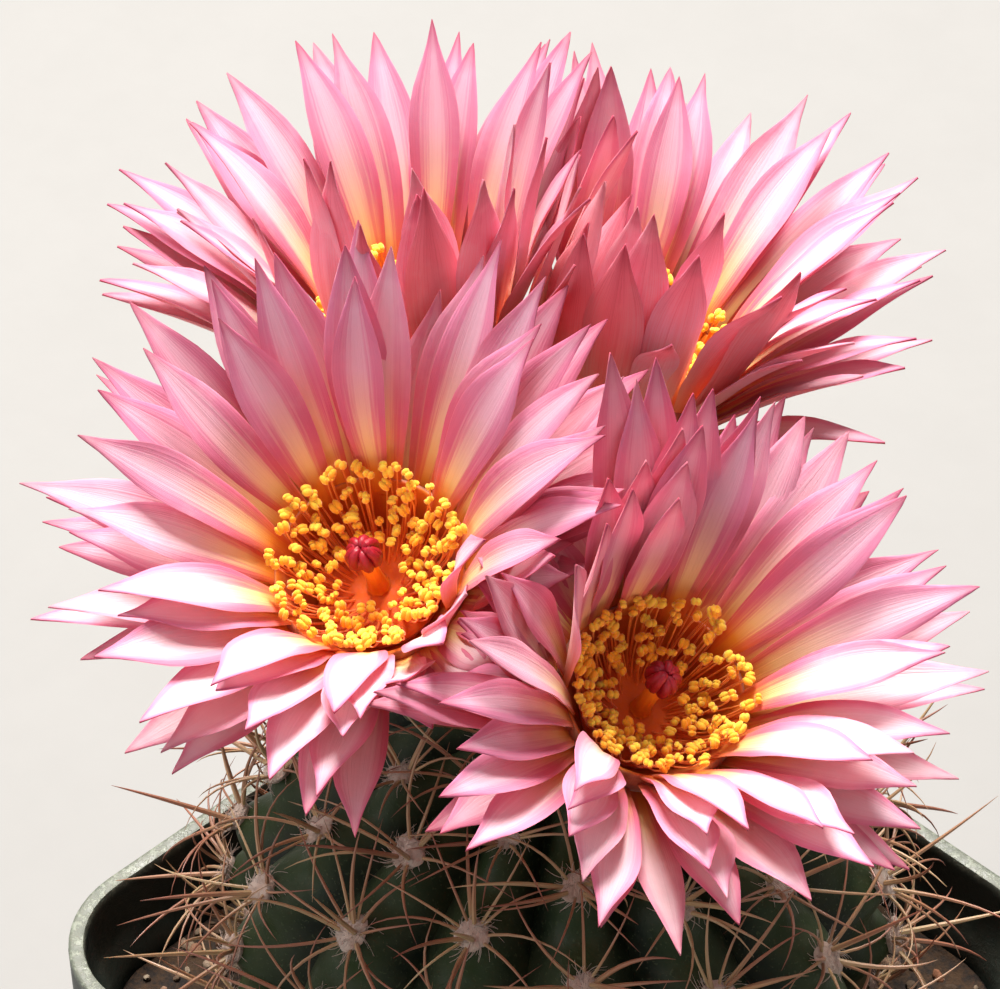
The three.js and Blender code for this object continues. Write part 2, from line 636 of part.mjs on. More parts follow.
function makeStigma(index) {
  const bloom = FRAMES[index];
  const bottom = STYLE_TOP + SEAT_GAP;
  const profile = [[0.55, 0], [1, 0.9], [0.96, 2], [0.5, 3]];
  const rings = profile.map(([share, rise]) => Array.from({ length: 2 * STIGMA_LOBES }, (_, k) => {
    const lobe = k % 2 === 0 ? 1 : 0.8;
    return bloomPoint(bloom, (Math.PI * k) / STIGMA_LOBES, STIGMA_RADIUS * share * lobe, bottom + rise);
  }));
  return loft([[bloomPoint(bloom, 0, 0, bottom)], ...rings, [bloomPoint(bloom, 0, 0, bottom + 2.7)]]);
}

// Where a bloom leaves the body, and the body's outward direction there
function rootOf(bloom) {
  const [x, y] = bloom.root;
  const share = Math.sqrt(1 - (x * x + y * y) / (BODY_RADIUS * BODY_RADIUS));
  const point = vector(x, y, BODY_MIDDLE + BODY_RISE * share);
  const normal = vector(x / BODY_RADIUS ** 2, y / BODY_RADIUS ** 2, share / BODY_RISE).normalize();
  return { point, normal };
}

const RECEPTACLE_STEPS = 5;
const RECEPTACLE_SIDES = 10;

// Centre line of a receptacle, from its socket in the body to the cup of petals, with its radius
function receptacleLine(bloom) {
  const { point, normal } = rootOf(bloom);
  const start = point.clone().addScaledVector(normal, SEAT_GAP - SOCKET_DEPTH);
  const end = bloomPoint(bloom, 0, 0, RECEPTACLE_TOP);
  const reach = start.distanceTo(end) / 3;
  const curve = new THREE.CubicBezierCurve3(start, start.clone().addScaledVector(normal, reach),
    end.clone().addScaledVector(bloom.w, -reach), end);
  return Array.from({ length: RECEPTACLE_STEPS + 1 }, (_, k) => {
    const share = k / RECEPTACLE_STEPS;
    const swell = THREE.MathUtils.smoothstep(share, 0.25, 1);
    return { point: curve.getPoint(share), along: curve.getTangent(share),
      radius: THREE.MathUtils.lerp(RECEPTACLE_ROOT, RECEPTACLE_HEAD * bloom.size, swell) };
  });
}

function makeReceptacle(index) {
  const bloom = FRAMES[index];
  return loft(receptacleLine(bloom).map(({ point, along, radius }, step) => {
    const side = bloom.v.clone().cross(along).normalize();
    const other = vector(0, 0, 0).crossVectors(along, side);
    const scaly = step === 0 || step === RECEPTACLE_STEPS ? 0 : SCALE_RELIEF;
    return Array.from({ length: RECEPTACLE_SIDES }, (_, k) => {
      const angle = (2 * Math.PI * k) / RECEPTACLE_SIDES;
      const size = radius * (1 + scaly * ((k + step) % 2 ? -1 : 1));
      return point.clone().addScaledVector(side, size * Math.cos(angle)).addScaledVector(other, size * Math.sin(angle));
    });
  }));
}

// The hole in the body that a receptacle stands in
function makeSocket(index) {
  const { point, normal } = rootOf(FRAMES[index]);
  const radius = RECEPTACLE_ROOT + SOCKET_CLEARANCE;
  const socket = new THREE.CylinderGeometry(radius * 1.12, radius, SOCKET_LENGTH, 10);
  socket.translate(0, SOCKET_LENGTH / 2 - SOCKET_DEPTH, 0);
  socket.applyQuaternion(new THREE.Quaternion().setFromUnitVectors(vector(0, 1, 0), normal));
  socket.translate(point.x, point.y, point.z);
  return solidFrom(socket);
}

// Where a spine may not go: into the pot, the soil, a receptacle or a bloom

function hitsPot(point) {
  if (point.z > POT_CLEARANCE) return false;
  if (point.z < POT_CLEARANCE - SOIL_DROP) return true;
  const inPot = point.clone().applyAxisAngle(vector(0, 0, 1), PLANT_TURN);
  const half = RIM_WIDTH / 2 - COLLAR_STEP - POT_WALL - POT_CLEARANCE;
  const corner = RIM_CORNER - COLLAR_STEP - POT_WALL;
  const x = Math.max(Math.abs(inPot.x) - half + corner, 0);
  const y = Math.max(Math.abs(inPot.y) - half + corner, 0);
  return Math.hypot(x, y) > corner;
}

const RECEPTACLES = FRAMES.map(receptacleLine);

function hitsBloom(point) {
  return FRAMES.some((bloom, index) => {
    const from = point.clone().sub(bloom.base).divideScalar(bloom.size);
    const rise = from.dot(bloom.w);
    const away = from.addScaledVector(bloom.w, -rise).length();
    const underside = UNDERSIDE_HEIGHT + UNDERSIDE_SLOPE * Math.max(0, away - CUP_RADIUS);
    if (rise > underside && away < BLOOM_REACH) return true;
    const isNear = (stop) => stop.point.distanceTo(point) < stop.radius * (1 + SCALE_RELIEF) + BLOOM_CLEARANCE;
    return RECEPTACLES[index].some(isNear);
  });
}

const isFree = (points) => points.every((point) => !hitsPot(point) && !hitsBloom(point));

// Root, middle and tip of a spine, bent clear of what stands near it, or null
function fitSpine(root, normal, direction, length, bow) {
  const level = vector(normal.x, normal.y, 0).normalize();
  const ways = [vector(0, 0, 1), level, normal];
  for (let share = 1; share > 0.4; share -= 0.15) {
    for (let blend = 0; blend < 0.9; blend += 0.2) {
      for (const way of ways) {
        const heading = direction.clone().lerp(way, blend).normalize();
        const middle = root.clone().addScaledVector(heading, 0.5 * length * share).addScaledVector(normal, bow);
        const tip = root.clone().addScaledVector(heading, length * share).addScaledVector(normal, -bow);
        const samples = [0.3, 0.7].map((t) => middle.clone().lerp(tip, t));
        if (isFree([middle, tip, ...samples])) return [root, middle, tip];
      }
    }
  }
  return null;
}

function areoles() {
  const list = [];
  for (let rib = 0; rib < RIBS; rib += 1) {
    const shift = areoleShift(rib);
    const first = Math.ceil((AREOLE_LOWEST - shift) / AREOLE_PITCH);
    for (let step = first; shift + step * AREOLE_PITCH < AREOLE_HIGHEST; step += 1) {
      const latitude = shift + step * AREOLE_PITCH;
      const azimuth = ribAngle(rib);
      const centre = bodyPoint(azimuth, latitude);
      const up = bodyPoint(azimuth, latitude + 4).sub(bodyPoint(azimuth, latitude - 4)).normalize();
      const side = vector(Math.cos(radians(azimuth)), Math.sin(radians(azimuth)), 0);
      const normal = side.clone().cross(up).normalize();
      const isUnderBloom = RECEPTACLES.some(([start, next]) => next.point.distanceTo(centre) < 10.5
        || start.point.distanceTo(centre) < 9.5);
      if (!isUnderBloom) list.push({ centre, normal, up, side, seed: 3000 + rib * 40 + step * 5 });
    }
  }
  return list;
}

function makeStem() {
  const solids = [];
  areoles().forEach(({ centre, normal, up, side, seed }) => {
    solids.push(makeTuft(centre, normal));
    for (let k = 0; k < SPINES_EACH; k += 1) {
      const kind = k === 0 ? CENTRAL_SPINE : RADIAL_SPINE;
      const turn = (2 * Math.PI * (k + 0.3 * draw(seed + k, 1))) / (SPINES_EACH - 1) + 0.9 * draw(seed, 2);
      const lean = radians(kind.lean + kind.leanRange * draw(seed + k, 3));
      const round = side.clone().multiplyScalar(Math.cos(turn)).addScaledVector(up, Math.sin(turn));
      const direction = normal.clone().multiplyScalar(Math.cos(lean)).addScaledVector(round, Math.sin(lean));
      const length = kind.length + SPINE_LENGTH_RANGE * draw(seed + k, 4);
      const root = centre.clone().addScaledVector(round, 0.6).addScaledVector(normal, -0.4);
      const spine = fitSpine(root, normal, direction, length, kind.bow);
      if (spine) solids.push(makeStalk([[spine[0], SPINE_RADIUS], [spine[1], 0.75 * SPINE_RADIUS]], spine[2]));
    }
  });
  const sockets = join(BLOOMS.map((_, index) => makeSocket(index)));
  return largest(join([makeBody(), ...solids]).subtract(sockets));
}

const object = new THREE.Group();
object.add(meshOf('pot', makePot(), 'pot'));
object.add(meshOf('soil', makeSoil(), 'soil'));

const plant = new THREE.Group();
plant.position.z = POT_HEIGHT;
plant.rotation.z = PLANT_TURN;
object.add(plant);
plant.add(meshOf('stem', makeStem(), 'stem'));
BLOOMS.forEach(({ name }, index) => {
  const bloom = new THREE.Group();
  bloom.name = name;
  bloom.add(meshOf(`${name}_receptacle`, makeReceptacle(index), 'receptacle'));
  bloom.add(meshOf(`${name}_tepals`, makeTepals(index), 'tepals'));
  bloom.add(meshOf(`${name}_stamens`, makeStamens(index), 'stamens'));
  bloom.add(meshOf(`${name}_style`, makeStyle(index), 'style'));
  bloom.add(meshOf(`${name}_stigma`, makeStigma(index), 'stigma'));
  plant.add(bloom);
});

export default object;
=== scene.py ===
"""Potted ball cactus with four open blooms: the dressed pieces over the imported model.

Sizes in the classes are millimetres in the plant's own frame, with X to the right, Y away from the
front and Z up from the centre of the pot's rim. Every mesh is made in metres in the row's frame.
"""

import logging
import math
from dataclasses import dataclass, field, replace
from enum import Enum
from itertools import product

import bpy
import numpy as np
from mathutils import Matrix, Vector

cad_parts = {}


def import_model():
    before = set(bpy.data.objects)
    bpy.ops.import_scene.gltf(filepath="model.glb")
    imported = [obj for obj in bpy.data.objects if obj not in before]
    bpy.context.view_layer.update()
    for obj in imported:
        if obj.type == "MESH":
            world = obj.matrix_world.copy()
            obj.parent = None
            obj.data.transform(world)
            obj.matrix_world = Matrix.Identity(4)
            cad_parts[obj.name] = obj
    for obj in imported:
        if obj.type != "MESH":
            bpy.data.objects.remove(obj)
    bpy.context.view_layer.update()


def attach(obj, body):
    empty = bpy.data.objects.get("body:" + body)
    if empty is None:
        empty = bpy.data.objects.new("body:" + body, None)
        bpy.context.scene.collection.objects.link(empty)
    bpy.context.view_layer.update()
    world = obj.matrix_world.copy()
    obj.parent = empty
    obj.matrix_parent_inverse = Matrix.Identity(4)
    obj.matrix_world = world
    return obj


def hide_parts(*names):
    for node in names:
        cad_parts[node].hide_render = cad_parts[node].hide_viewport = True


LOG = logging.getLogger("cactus")
BODY = "root"
MM = 0.001
POT_HEIGHT = 80.0
PLANT_TURN = math.pi / 4
GOLDEN_ANGLE = math.pi * (3.0 - math.sqrt(5.0))
FAR = 1e9
NO_MARK = (0.0, 0.0, 0.0)

Array = np.ndarray
Triple = tuple[float, float, float]
Colour = Triple
Marks = Array | Triple
Socket = bpy.types.NodeSocket


# Draws and small vector helpers


def draws(items: Array | float, series: float) -> Array:
    """Return a repeatable draw for each of several items.

    Args:
        items: numbers of the items.
        series: number of the series of draws, another one for each thing that varies.

    Returns:
        Values from -1 to 1, in the shape of items.
    """
    value = np.sin(items * 127.1 + series * 311.7) * 43758.5453
    return 2.0 * (value - np.floor(value)) - 1.0


def draw(item: float, series: float) -> float:
    """Return a repeatable draw for one item, from -1 to 1."""
    return float(draws(item, series))


def vec(x: float, y: float, z: float) -> Array:
    """Return a vector of three numbers."""
    return np.array([x, y, z], float)


def unit(v: Array) -> Array:
    """Return vectors scaled to length one, along the last axis."""
    return v / np.maximum(np.linalg.norm(v, axis=-1, keepdims=True), 1e-12)


def smooth(value: Array | float, low: float, high: float) -> Array | float:
    """Return a smooth step from 0 at low to 1 at high."""
    share = np.clip((value - low) / (high - low), 0.0, 1.0)
    return share * share * (3.0 - 2.0 * share)


def lerp(a: Array | float, b: Array | float, share: Array | float) -> Array | float:
    """Return the mix of a and b at a share."""
    return a + (b - a) * share


def to_row(points: Array) -> Array:
    """Turn points of the plant's frame into the row's frame.

    Args:
        points: the points, in millimetres, with their three numbers along the last axis.

    Returns:
        The points, in metres.
    """
    cos, sin = math.cos(PLANT_TURN), math.sin(PLANT_TURN)
    x, y, z = points[..., 0], points[..., 1], points[..., 2]
    return np.stack([cos * x - sin * y, sin * x + cos * y, z + POT_HEIGHT], -1) * MM


def through(points: Array, places: Array) -> Array:
    """Return points on the smooth curve through a row of points.

    Args:
        points: the row, n by 3.
        places: where to take it, from 0 at the first point to n - 1 at the last.

    Returns:
        One point for each place.
    """
    last = len(points) - 1
    i = np.clip(np.floor(places).astype(int), 0, last - 1)
    f = (places - i)[:, None]
    p0, p1 = points[np.maximum(i - 1, 0)], points[i]
    p2, p3 = points[i + 1], points[np.minimum(i + 2, last)]
    first = 2.0 * p1 + (p2 - p0) * f + (2.0 * p0 - 5.0 * p1 + 4.0 * p2 - p3) * f**2
    return 0.5 * (first + (3.0 * p1 - p0 - 3.0 * p2 + p3) * f**3)


def bent(start: Array, pull: Array, end: Array, t: Array) -> Array:
    """Return points at shares t of a curve from start to end that leans towards a third point."""
    return (1 - t) ** 2 * start + 2 * (1 - t) * t * pull + t**2 * end


def turns(count: int) -> Array:
    """Return angles spaced evenly round a circle."""
    return np.arange(count) * 2 * math.pi / count


def swung(side: Array, other: Array, turn: Array | float) -> Array:
    """Return directions at angles from side towards other."""
    return side * np.cos(turn) + other * np.sin(turn)


def triples(x: Array | float, y: Array | float, z: Array | float) -> Array:
    """Return three arrays, spread to one shape, as rows of three numbers."""
    return np.stack(np.broadcast_arrays(x, y, z), -1).reshape(-1, 3)


def ring_faces(rows: int, columns: int) -> list[tuple[int, ...]]:
    """Return the faces of a closed body made of rings.

    Args:
        rows: how many rings.
        columns: points in a ring.

    Returns:
        The faces round it and one on each end, as numbers of its points.
    """
    faces: list[tuple[int, ...]] = []
    for a in range(0, (rows - 1) * columns, columns):
        b = a + columns
        for k in range(columns):
            n = (k + 1) % columns
            faces.append((a + k, a + n, b + n, b + k))
    last = (rows - 1) * columns
    faces.append(tuple(reversed(range(columns))))
    faces.append(tuple(range(last, last + columns)))
    return faces


class Skin:
    """Gathers the points, faces and marks of one mesh.

    Each point has two marks of three numbers: place, which says where it lies on its part, and
    tint, which holds the draws of its part.
    """

    def __init__(self) -> None:
        """Start with nothing."""
        self.points: list[Array] = []
        self.faces: list[tuple[int, ...]] = []
        self.place: list[Array] = []
        self.tint: list[Array] = []
        self.count = 0

    def add(self, points: Array, place: Marks = NO_MARK, tint: Marks = NO_MARK) -> None:
        """Add one or more closed bodies, each made of rings of points.

        Args:
            points: in the plant's frame, in millimetres, bodies by rings by points by 3, or without
                the first of these for one body.
            place: three numbers for each point of a body, or three numbers for all.
            tint: three numbers for each body, or three numbers for all.
        """
        rows, columns = points.shape[-3:-1]
        size = rows * columns
        count = points.size // (3 * size)
        pattern = ring_faces(rows, columns)
        for start in range(self.count, self.count + count * size, size):
            self.faces.extend(tuple(k + start for k in face) for face in pattern)
        self.points.append(points.reshape(-1, 3))
        self.place.append(np.tile(np.broadcast_to(place, (size, 3)), (count, 1)))
        self.tint.append(np.repeat(np.broadcast_to(tint, (count, 3)), size, axis=0))
        self.count += count * size

    def build(self, name: str, in_pot_frame: bool = False, sharp_angle: float = 50.0) -> bpy.types.Object:
        """Make the object.

        Args:
            name: its name.
            in_pot_frame: the points are already in the row's directions, with Z from the ground.
            sharp_angle: edges that turn more than this many degrees stay sharp.

        Returns:
            The object, linked to the scene, with its marks as attributes.
        """
        points = np.concatenate(self.points)
        points = points * MM if in_pot_frame else to_row(points)
        mesh = bpy.data.meshes.new(name)
        mesh.from_pydata(points.tolist(), [], self.faces)
        for key, parts in (("place", self.place), ("tint", self.tint)):
            values = np.concatenate(parts).astype(np.float32)
            mesh.attributes.new(key, "FLOAT_VECTOR", "POINT").data.foreach_set("vector", values.ravel())
        mesh.shade_smooth()
        mesh.set_sharp_from_angle(angle=math.radians(sharp_angle))
        mesh.validate()
        made = bpy.data.objects.new(name, mesh)
        bpy.context.scene.collection.objects.link(made)
        return made


def add_tubes(
    skin: Skin, paths: Array, radii: Array, sides: int, kind: float = 0.0, tint: Marks = NO_MARK
) -> None:
    """Add round tubes with closed ends.

    Args:
        skin: what they are added to.
        paths: their centre lines, tubes by stops by 3.
        radii: their radii, tubes by stops.
        sides: corners of a section.
        kind: third number of the place mark.
        tint: three numbers for each tube, or three numbers for all.
    """
    along = unit(np.gradient(paths, axis=1))
    main = unit(paths[:, -1] - paths[:, 0])
    is_upright = np.abs(main[:, 2:3]) >= 0.85
    side = unit(np.cross(np.where(is_upright, vec(1, 0, 0), vec(0, 0, 1))[:, None], along))
    turn = turns(sides)
    ring = swung(side[:, :, None], np.cross(along, side)[:, :, None], turn[:, None])
    share = np.linspace(0, 1, paths.shape[1])[:, None]
    skin.add(paths[:, :, None] + ring * radii[:, :, None, None], triples(turn / math.tau, share, kind), tint)


def add_balls(
    skin: Skin, centres: Array, axes: Array, kind: float, tint: Marks, rows: int, columns: int
) -> None:
    """Add egg-shaped bodies.

    Args:
        skin: what they are added to.
        centres: their centres, n by 3.
        axes: their three half axes as vectors, n by 3 by 3.
        kind: third number of the place mark.
        tint: three numbers for each body, or three numbers for all.
        rows: rings of points from end to end.
        columns: points in a ring.
    """
    end_share = 0.96
    up = np.linspace(-0.5, 0.5, rows)[:, None] * math.pi * end_share
    turn = turns(columns)
    shape = triples(np.cos(up) * np.cos(turn), np.cos(up) * np.sin(turn), np.sin(up))
    points = centres[:, None] + np.einsum("pk,nkc->npc", shape, axes)
    place = triples(shape[:, 0], 0.5 + 0.5 * shape[:, 2], kind)
    skin.add(points.reshape(len(centres), rows, columns, 3), place, tint)


# Sites and axes of the blooms


@dataclass(frozen=True)
class BloomSite:
    """Where a bloom stands and how far it opens."""

    name: str
    throat: tuple[float, float, float]
    tilt: float
    heading: float
    size: float
    opening: float
    least_lean: float
    root: tuple[float, float]


SITES = (
    BloomSite("bloom_front_left", (-21, -3, 63.6), 27, -18, 1.0, 1.0, 20, (-14.5, 9)),
    BloomSite("bloom_front_right", (9.9, -17, 58.9), 27, 30, 0.95, 1.0, 2, (4, -5.5)),
    BloomSite("bloom_back_left", (-16.4, 30.3, 71), 5, -90, 1.04, 0.84, -18, (-11, 20)),
    BloomSite("bloom_back_right", (8, 29.2, 68.3), 8, 90, 1.04, 0.88, -16, (5, 18.5)),
)


@dataclass(frozen=True)
class Wall:
    """A plane that two neighbouring blooms share: a point on it and its normal."""

    at: tuple[float, float, float]
    normal: tuple[float, float, float]


@dataclass(frozen=True)
class Divider:
    """The walls between two blooms, and how far petals of the first and the second may cross them."""

    first: int
    second: int
    walls: tuple[Wall, ...]
    overlap: tuple[float, float] = (0.0, 0.0)


DIVIDERS = (
    Divider(
        0,
        1,
        (Wall((-4.9, -10.3, 61), (0.66, -0.64, -0.4)), Wall((-16, -14, 60.8), (0.99, -0.179, 0.024))),
        (1.0, 0.0),
    ),
    Divider(0, 2, (Wall((-16, 11.3, 62), (0.08, 0.95, -0.22)),)),
    Divider(1, 3, (Wall((10, 5.5, 60), (0, 0.97, -0.22)),)),
    Divider(2, 3, (Wall((-2.9, 28, 66.5), (0.98, -0.05, -0.16)),)),
    Divider(0, 3, (Wall((-3.5, 11.5, 61), (0.62, 0.72, -0.28)),)),
    Divider(1, 2, (Wall((-1, 5.5, 60), (-0.45, 0.84, -0.3)),)),
)


class Bloom:
    """The axes, base and borders of one bloom."""

    THROAT = 30.0

    def __init__(self, index: int) -> None:
        """Work out the axes of the bloom at a place in SITES.

        Args:
            index: which bloom.
        """
        site = SITES[index]
        tilt, heading = math.radians(site.tilt), math.radians(site.heading)
        self.index = index
        self.site = site
        self.size = site.size
        self.w = vec(math.sin(tilt) * math.sin(heading), -math.sin(tilt) * math.cos(heading), math.cos(tilt))
        self.u = unit(np.cross(vec(0, 1, 0), self.w))
        self.v = np.cross(self.w, self.u)
        self.base = np.array(site.throat, float) - self.w * self.THROAT * self.size
        self.borders = []
        for divider in DIVIDERS:
            if index in (divider.first, divider.second):
                second = int(index == divider.second)
                walls = [(vec(*wall.at), unit(vec(*wall.normal))) for wall in divider.walls]
                self.borders.append((walls, (-1, 1)[second], divider.overlap[second]))

    def out(self, angle: float | Array) -> Array:
        """Return the direction away from the axis at an angle round it."""
        return np.multiply.outer(np.cos(angle), self.u) + np.multiply.outer(np.sin(angle), self.v)

    def point(self, angle: float | Array, radius: float | Array, height: float | Array) -> Array:
        """Return points at angles, distances from the axis and heights along it."""
        reach = self.out(angle) * np.asarray(radius * self.size)[..., None]
        return self.base + reach + np.multiply.outer(np.asarray(height, float) * self.size, self.w)

    def trespass(self, points: Array, margin: float) -> float:
        """Measure how far points reach past the borders.

        Args:
            points: the points, n by 3.
            margin: what they have to keep from the borders.

        Returns:
            The farthest reach, 0 or less where all of them keep the margin.
        """
        worst = -FAR
        for walls, side, overlap in self.borders:
            depth = np.min([(points - at) @ normal for at, normal in walls], axis=0)
            worst = max(worst, float(np.max(margin - overlap - side * depth)))
        return worst


# Petals


@dataclass(frozen=True)
class Whorl:
    """One ring of petals: its rank from the inside, number, roots, leans, length and width."""

    rank: float
    count: int
    phase: float
    radius: float
    height: float
    root_lean: float
    tip_lean: float
    length: float
    width: float


WHORLS = (
    Whorl(0, 9, 0.0, 9.9, 26.9, 24, 55, 27.0, 7.0),
    Whorl(1, 11, 0.5, 10.2, 24.8, 36, 64, 29.0, 7.4),
    Whorl(2, 11, 0.0, 10.1, 22.6, 47, 73, 29.5, 7.4),
    Whorl(3, 7, 0.3, 9.4, 20.4, 57, 82, 27.0, 6.6),
)
FILLING_WHORLS = (
    Whorl(0.4, 11, 0.25, 10.0, 26.0, 29, 58, 28.0, 6.8),
    Whorl(1.5, 13, 0.1, 10.2, 23.8, 41, 68, 29.5, 7.2),
    Whorl(2.5, 12, 0.6, 9.8, 21.6, 51, 76, 28.5, 7.0),
)
GUIDE = WHORLS[2]
OUTERMOST = WHORLS[3]
INSERTED = (
    (0, WHORLS[2], 0.5), (0, FILLING_WHORLS[1], 0.5), (0, FILLING_WHORLS[2], 11.5), (0, WHORLS[1], 10.5),
    (0, FILLING_WHORLS[0], 10.5), (0, FILLING_WHORLS[0], 0.5), (1, WHORLS[2], 3.5), (1, WHORLS[1], 2.5),
    (1, FILLING_WHORLS[1], 2.5), (1, WHORLS[1], 3.5),
)


@dataclass(frozen=True)
class Petal:
    """One petal as it stands in a bloom."""

    rank: float
    angle: float
    radius: float
    height: float
    length: float
    width: float
    root_lean: float
    tip_lean: float
    seed: float


@dataclass(frozen=True)
class Fan:
    """A row of petals set in where two blooms meet, short ones under the neighbour's or tall ones between.

    It has the bloom's number, first and last angle, number of petals, leans, size and first seed.
    """

    bloom: int
    start: float
    end: float
    count: int
    root_lean: float
    tip_lean: float
    length: float
    width: float
    seed: int
    rank: float = 1.6
    radius: float = 10.1
    height: float = 25.0
    angle_range: float = 3.0
    length_range: float = 0.12
    root_range: float = 4.0
    tip_range: float = 6.0

    def petals(self) -> list[Petal]:
        """Find the petals.

        Returns:
            The petals, from the first angle to the last.
        """
        found = []
        for k in range(self.count):
            seed = self.seed + k
            angle = lerp(self.start, self.end, k / (self.count - 1)) + self.angle_range * draw(seed, 1)
            length = self.length * (1 + self.length_range * draw(seed, 2))
            root_lean = self.root_lean + self.root_range * draw(seed, 3)
            tip_lean = self.tip_lean + self.tip_range * draw(seed, 4)
            stand = self.rank, math.radians(angle), self.radius, self.height
            found.append(Petal(*stand, length, self.width, root_lean, tip_lean, seed))
        return found


FANS = (
    Fan(1, 126, 200, 9, 52, 80, 14.5, 6.6, 9440),
    Fan(0, 290, 354, 8, 44, 68, 15, 6.8, 9400),
    Fan(1, 94, 121, 5, 27, 40, 29.5, 7.0, 9461),
)


@dataclass(frozen=True)
class PetalRules:
    """How petals bend, vary, crowd and close."""

    steps: int = 10
    trough: float = 0.14
    widest: float = 0.58
    root_width: float = 0.44
    rise_power: float = 1.3
    fall_power: float = 1.75
    least_width: float = 0.02
    eased_bend: float = 0.6
    angle_range: float = 0.14
    length_range: float = 0.08
    width_range: float = 0.1
    tip_range: float = 4.0
    margin: float = -1.6
    guide_margin: float = -1.0
    guide_lean: float = 10.0
    layer_step: float = 0.9
    rank_lean: float = 4.0
    low_side_rise: float = 40.0
    inner_drop: float = 16.0
    close_step: float = 3.0
    shorten_step: float = 0.06
    narrowest: float = 0.4
    most_crowding: float = 60.0
    turning: float = 0.26
    turn_gain: float = 2.5
    hidden_beyond: float = 38.0
    filling_margin: float = -1.0
    filling_closing: float = 14.0
    filling_share: float = 0.75
    root_share: float = 0.45

    def outline(self, t: Array) -> Array:
        """Shape the outline of a petal.

        Args:
            t: places along it, from 0 to 1.

        Returns:
            The share of its full width that it has there.
        """
        quarter = np.clip(t / self.widest, 0, 1) * math.pi / 2
        rising = self.root_width + (1 - self.root_width) * np.sin(quarter) ** self.rise_power
        past = np.maximum(t - self.widest, 0) / (1 - self.widest)
        return np.where(t <= self.widest, rising, np.maximum(1 - past**self.fall_power, self.least_width))

    def line(self, bloom: Bloom, petal: Petal) -> tuple[Array, Array, Array, Array]:
        """Return a petal's centre line.

        Args:
            bloom: the bloom that it stands in.
            petal: the petal.

        Returns:
            Points, half widths, outer normals and the side direction.
        """
        t = np.linspace(0, 1, self.steps + 1)
        out = bloom.out(petal.angle)
        blend = lerp(t, smooth(t, 0, 1), self.eased_bend)
        lean = np.radians(lerp(petal.root_lean, petal.tip_lean, blend))[:, None]
        along = swung(bloom.w, out, lean)
        root = bloom.point(petal.angle, petal.radius, petal.height)
        run = np.vstack([np.zeros(3), np.cumsum(along[:-1], axis=0)]) * (petal.length / self.steps)
        half = 0.5 * petal.width * self.outline(t)
        return root + run, half, swung(out, -bloom.w, lean), bloom.out(petal.angle + math.pi / 2)

    def edges(self, bloom: Bloom, petal: Petal) -> Array:
        """Find the parts of a petal that come nearest to its neighbours.

        Args:
            bloom: the bloom that it stands in.
            petal: the petal.

        Returns:
            Points along its underside and both margins.
        """
        points, half, normal, side = self.line(bloom, petal)
        low = points - self.trough * half[:, None] * normal
        return np.concatenate([low, low + side * half[:, None], low - side * half[:, None]])

    def is_clear(self, bloom: Bloom, petal: Petal, margin: float) -> bool:
        """Say whether a petal keeps a margin from its bloom's borders."""
        return bloom.trespass(self.edges(bloom, petal), margin) <= 0

    def fit(
        self, bloom: Bloom, petal: Petal, margin: float, least_lean: float, least_share: float = 0.5
    ) -> tuple[Petal | None, float]:
        """Close a petal until it clears the borders, then shorten it.

        Args:
            bloom: the bloom that it stands in.
            petal: the petal as it would open.
            margin: what it keeps from the borders.
            least_lean: how far its tip still leans when it is closed most.
            least_share: share of its length that it has when it is shortened most.

        Returns:
            The petal, or None where it can't clear them, and how far it closed.
        """
        closing = 0.0
        while petal.tip_lean - closing > least_lean:
            closed = self.closed(petal, closing, 1.0)
            if self.is_clear(bloom, closed, margin):
                return closed, closing
            closing += self.close_step
        share = 1.0 - self.shorten_step
        while share > least_share - self.shorten_step:
            cut = self.closed(petal, closing, share)
            if self.is_clear(bloom, cut, margin):
                return cut, closing
            share -= self.shorten_step
        return None, closing

    def closed(self, petal: Petal, closing: float, share: float) -> Petal:
        """Return a petal closed by an angle and shortened to a share of its length."""
        return replace(
            petal,
            length=petal.length * share,
            width=petal.width * lerp(self.narrowest, 1.0, share),
            root_lean=petal.root_lean - self.root_share * closing,
            tip_lean=petal.tip_lean - closing,
        )

    def turn_away(self, bloom: Bloom, angle: float) -> float:
        """Find which way round the axis leads away from the nearest border.

        Args:
            bloom: the bloom.
            angle: an angle round its axis.

        Returns:
            A value from -1 to 1, small where the border is straight ahead.
        """
        nearest, turn = -2.0, 0.0
        for walls, side, _ in bloom.borders:
            heading = -side * walls[0][1]
            to_wall = angle - math.atan2(float(heading @ bloom.v), float(heading @ bloom.u))
            if math.cos(to_wall) > nearest:
                nearest, turn = math.cos(to_wall), math.sin(to_wall)
        return max(-1.0, min(1.0, self.turn_gain * turn))

    def crowding(self, bloom: Bloom, petal: Petal) -> float:
        """Return how far a petal would close at its angle if it stood in the guide whorl."""
        guide = replace(
            petal,
            radius=GUIDE.radius,
            height=GUIDE.height,
            root_lean=GUIDE.root_lean * bloom.site.opening,
            tip_lean=GUIDE.tip_lean * bloom.site.opening,
        )
        return self.fit(bloom, guide, self.guide_margin, bloom.site.least_lean + self.guide_lean)[1]

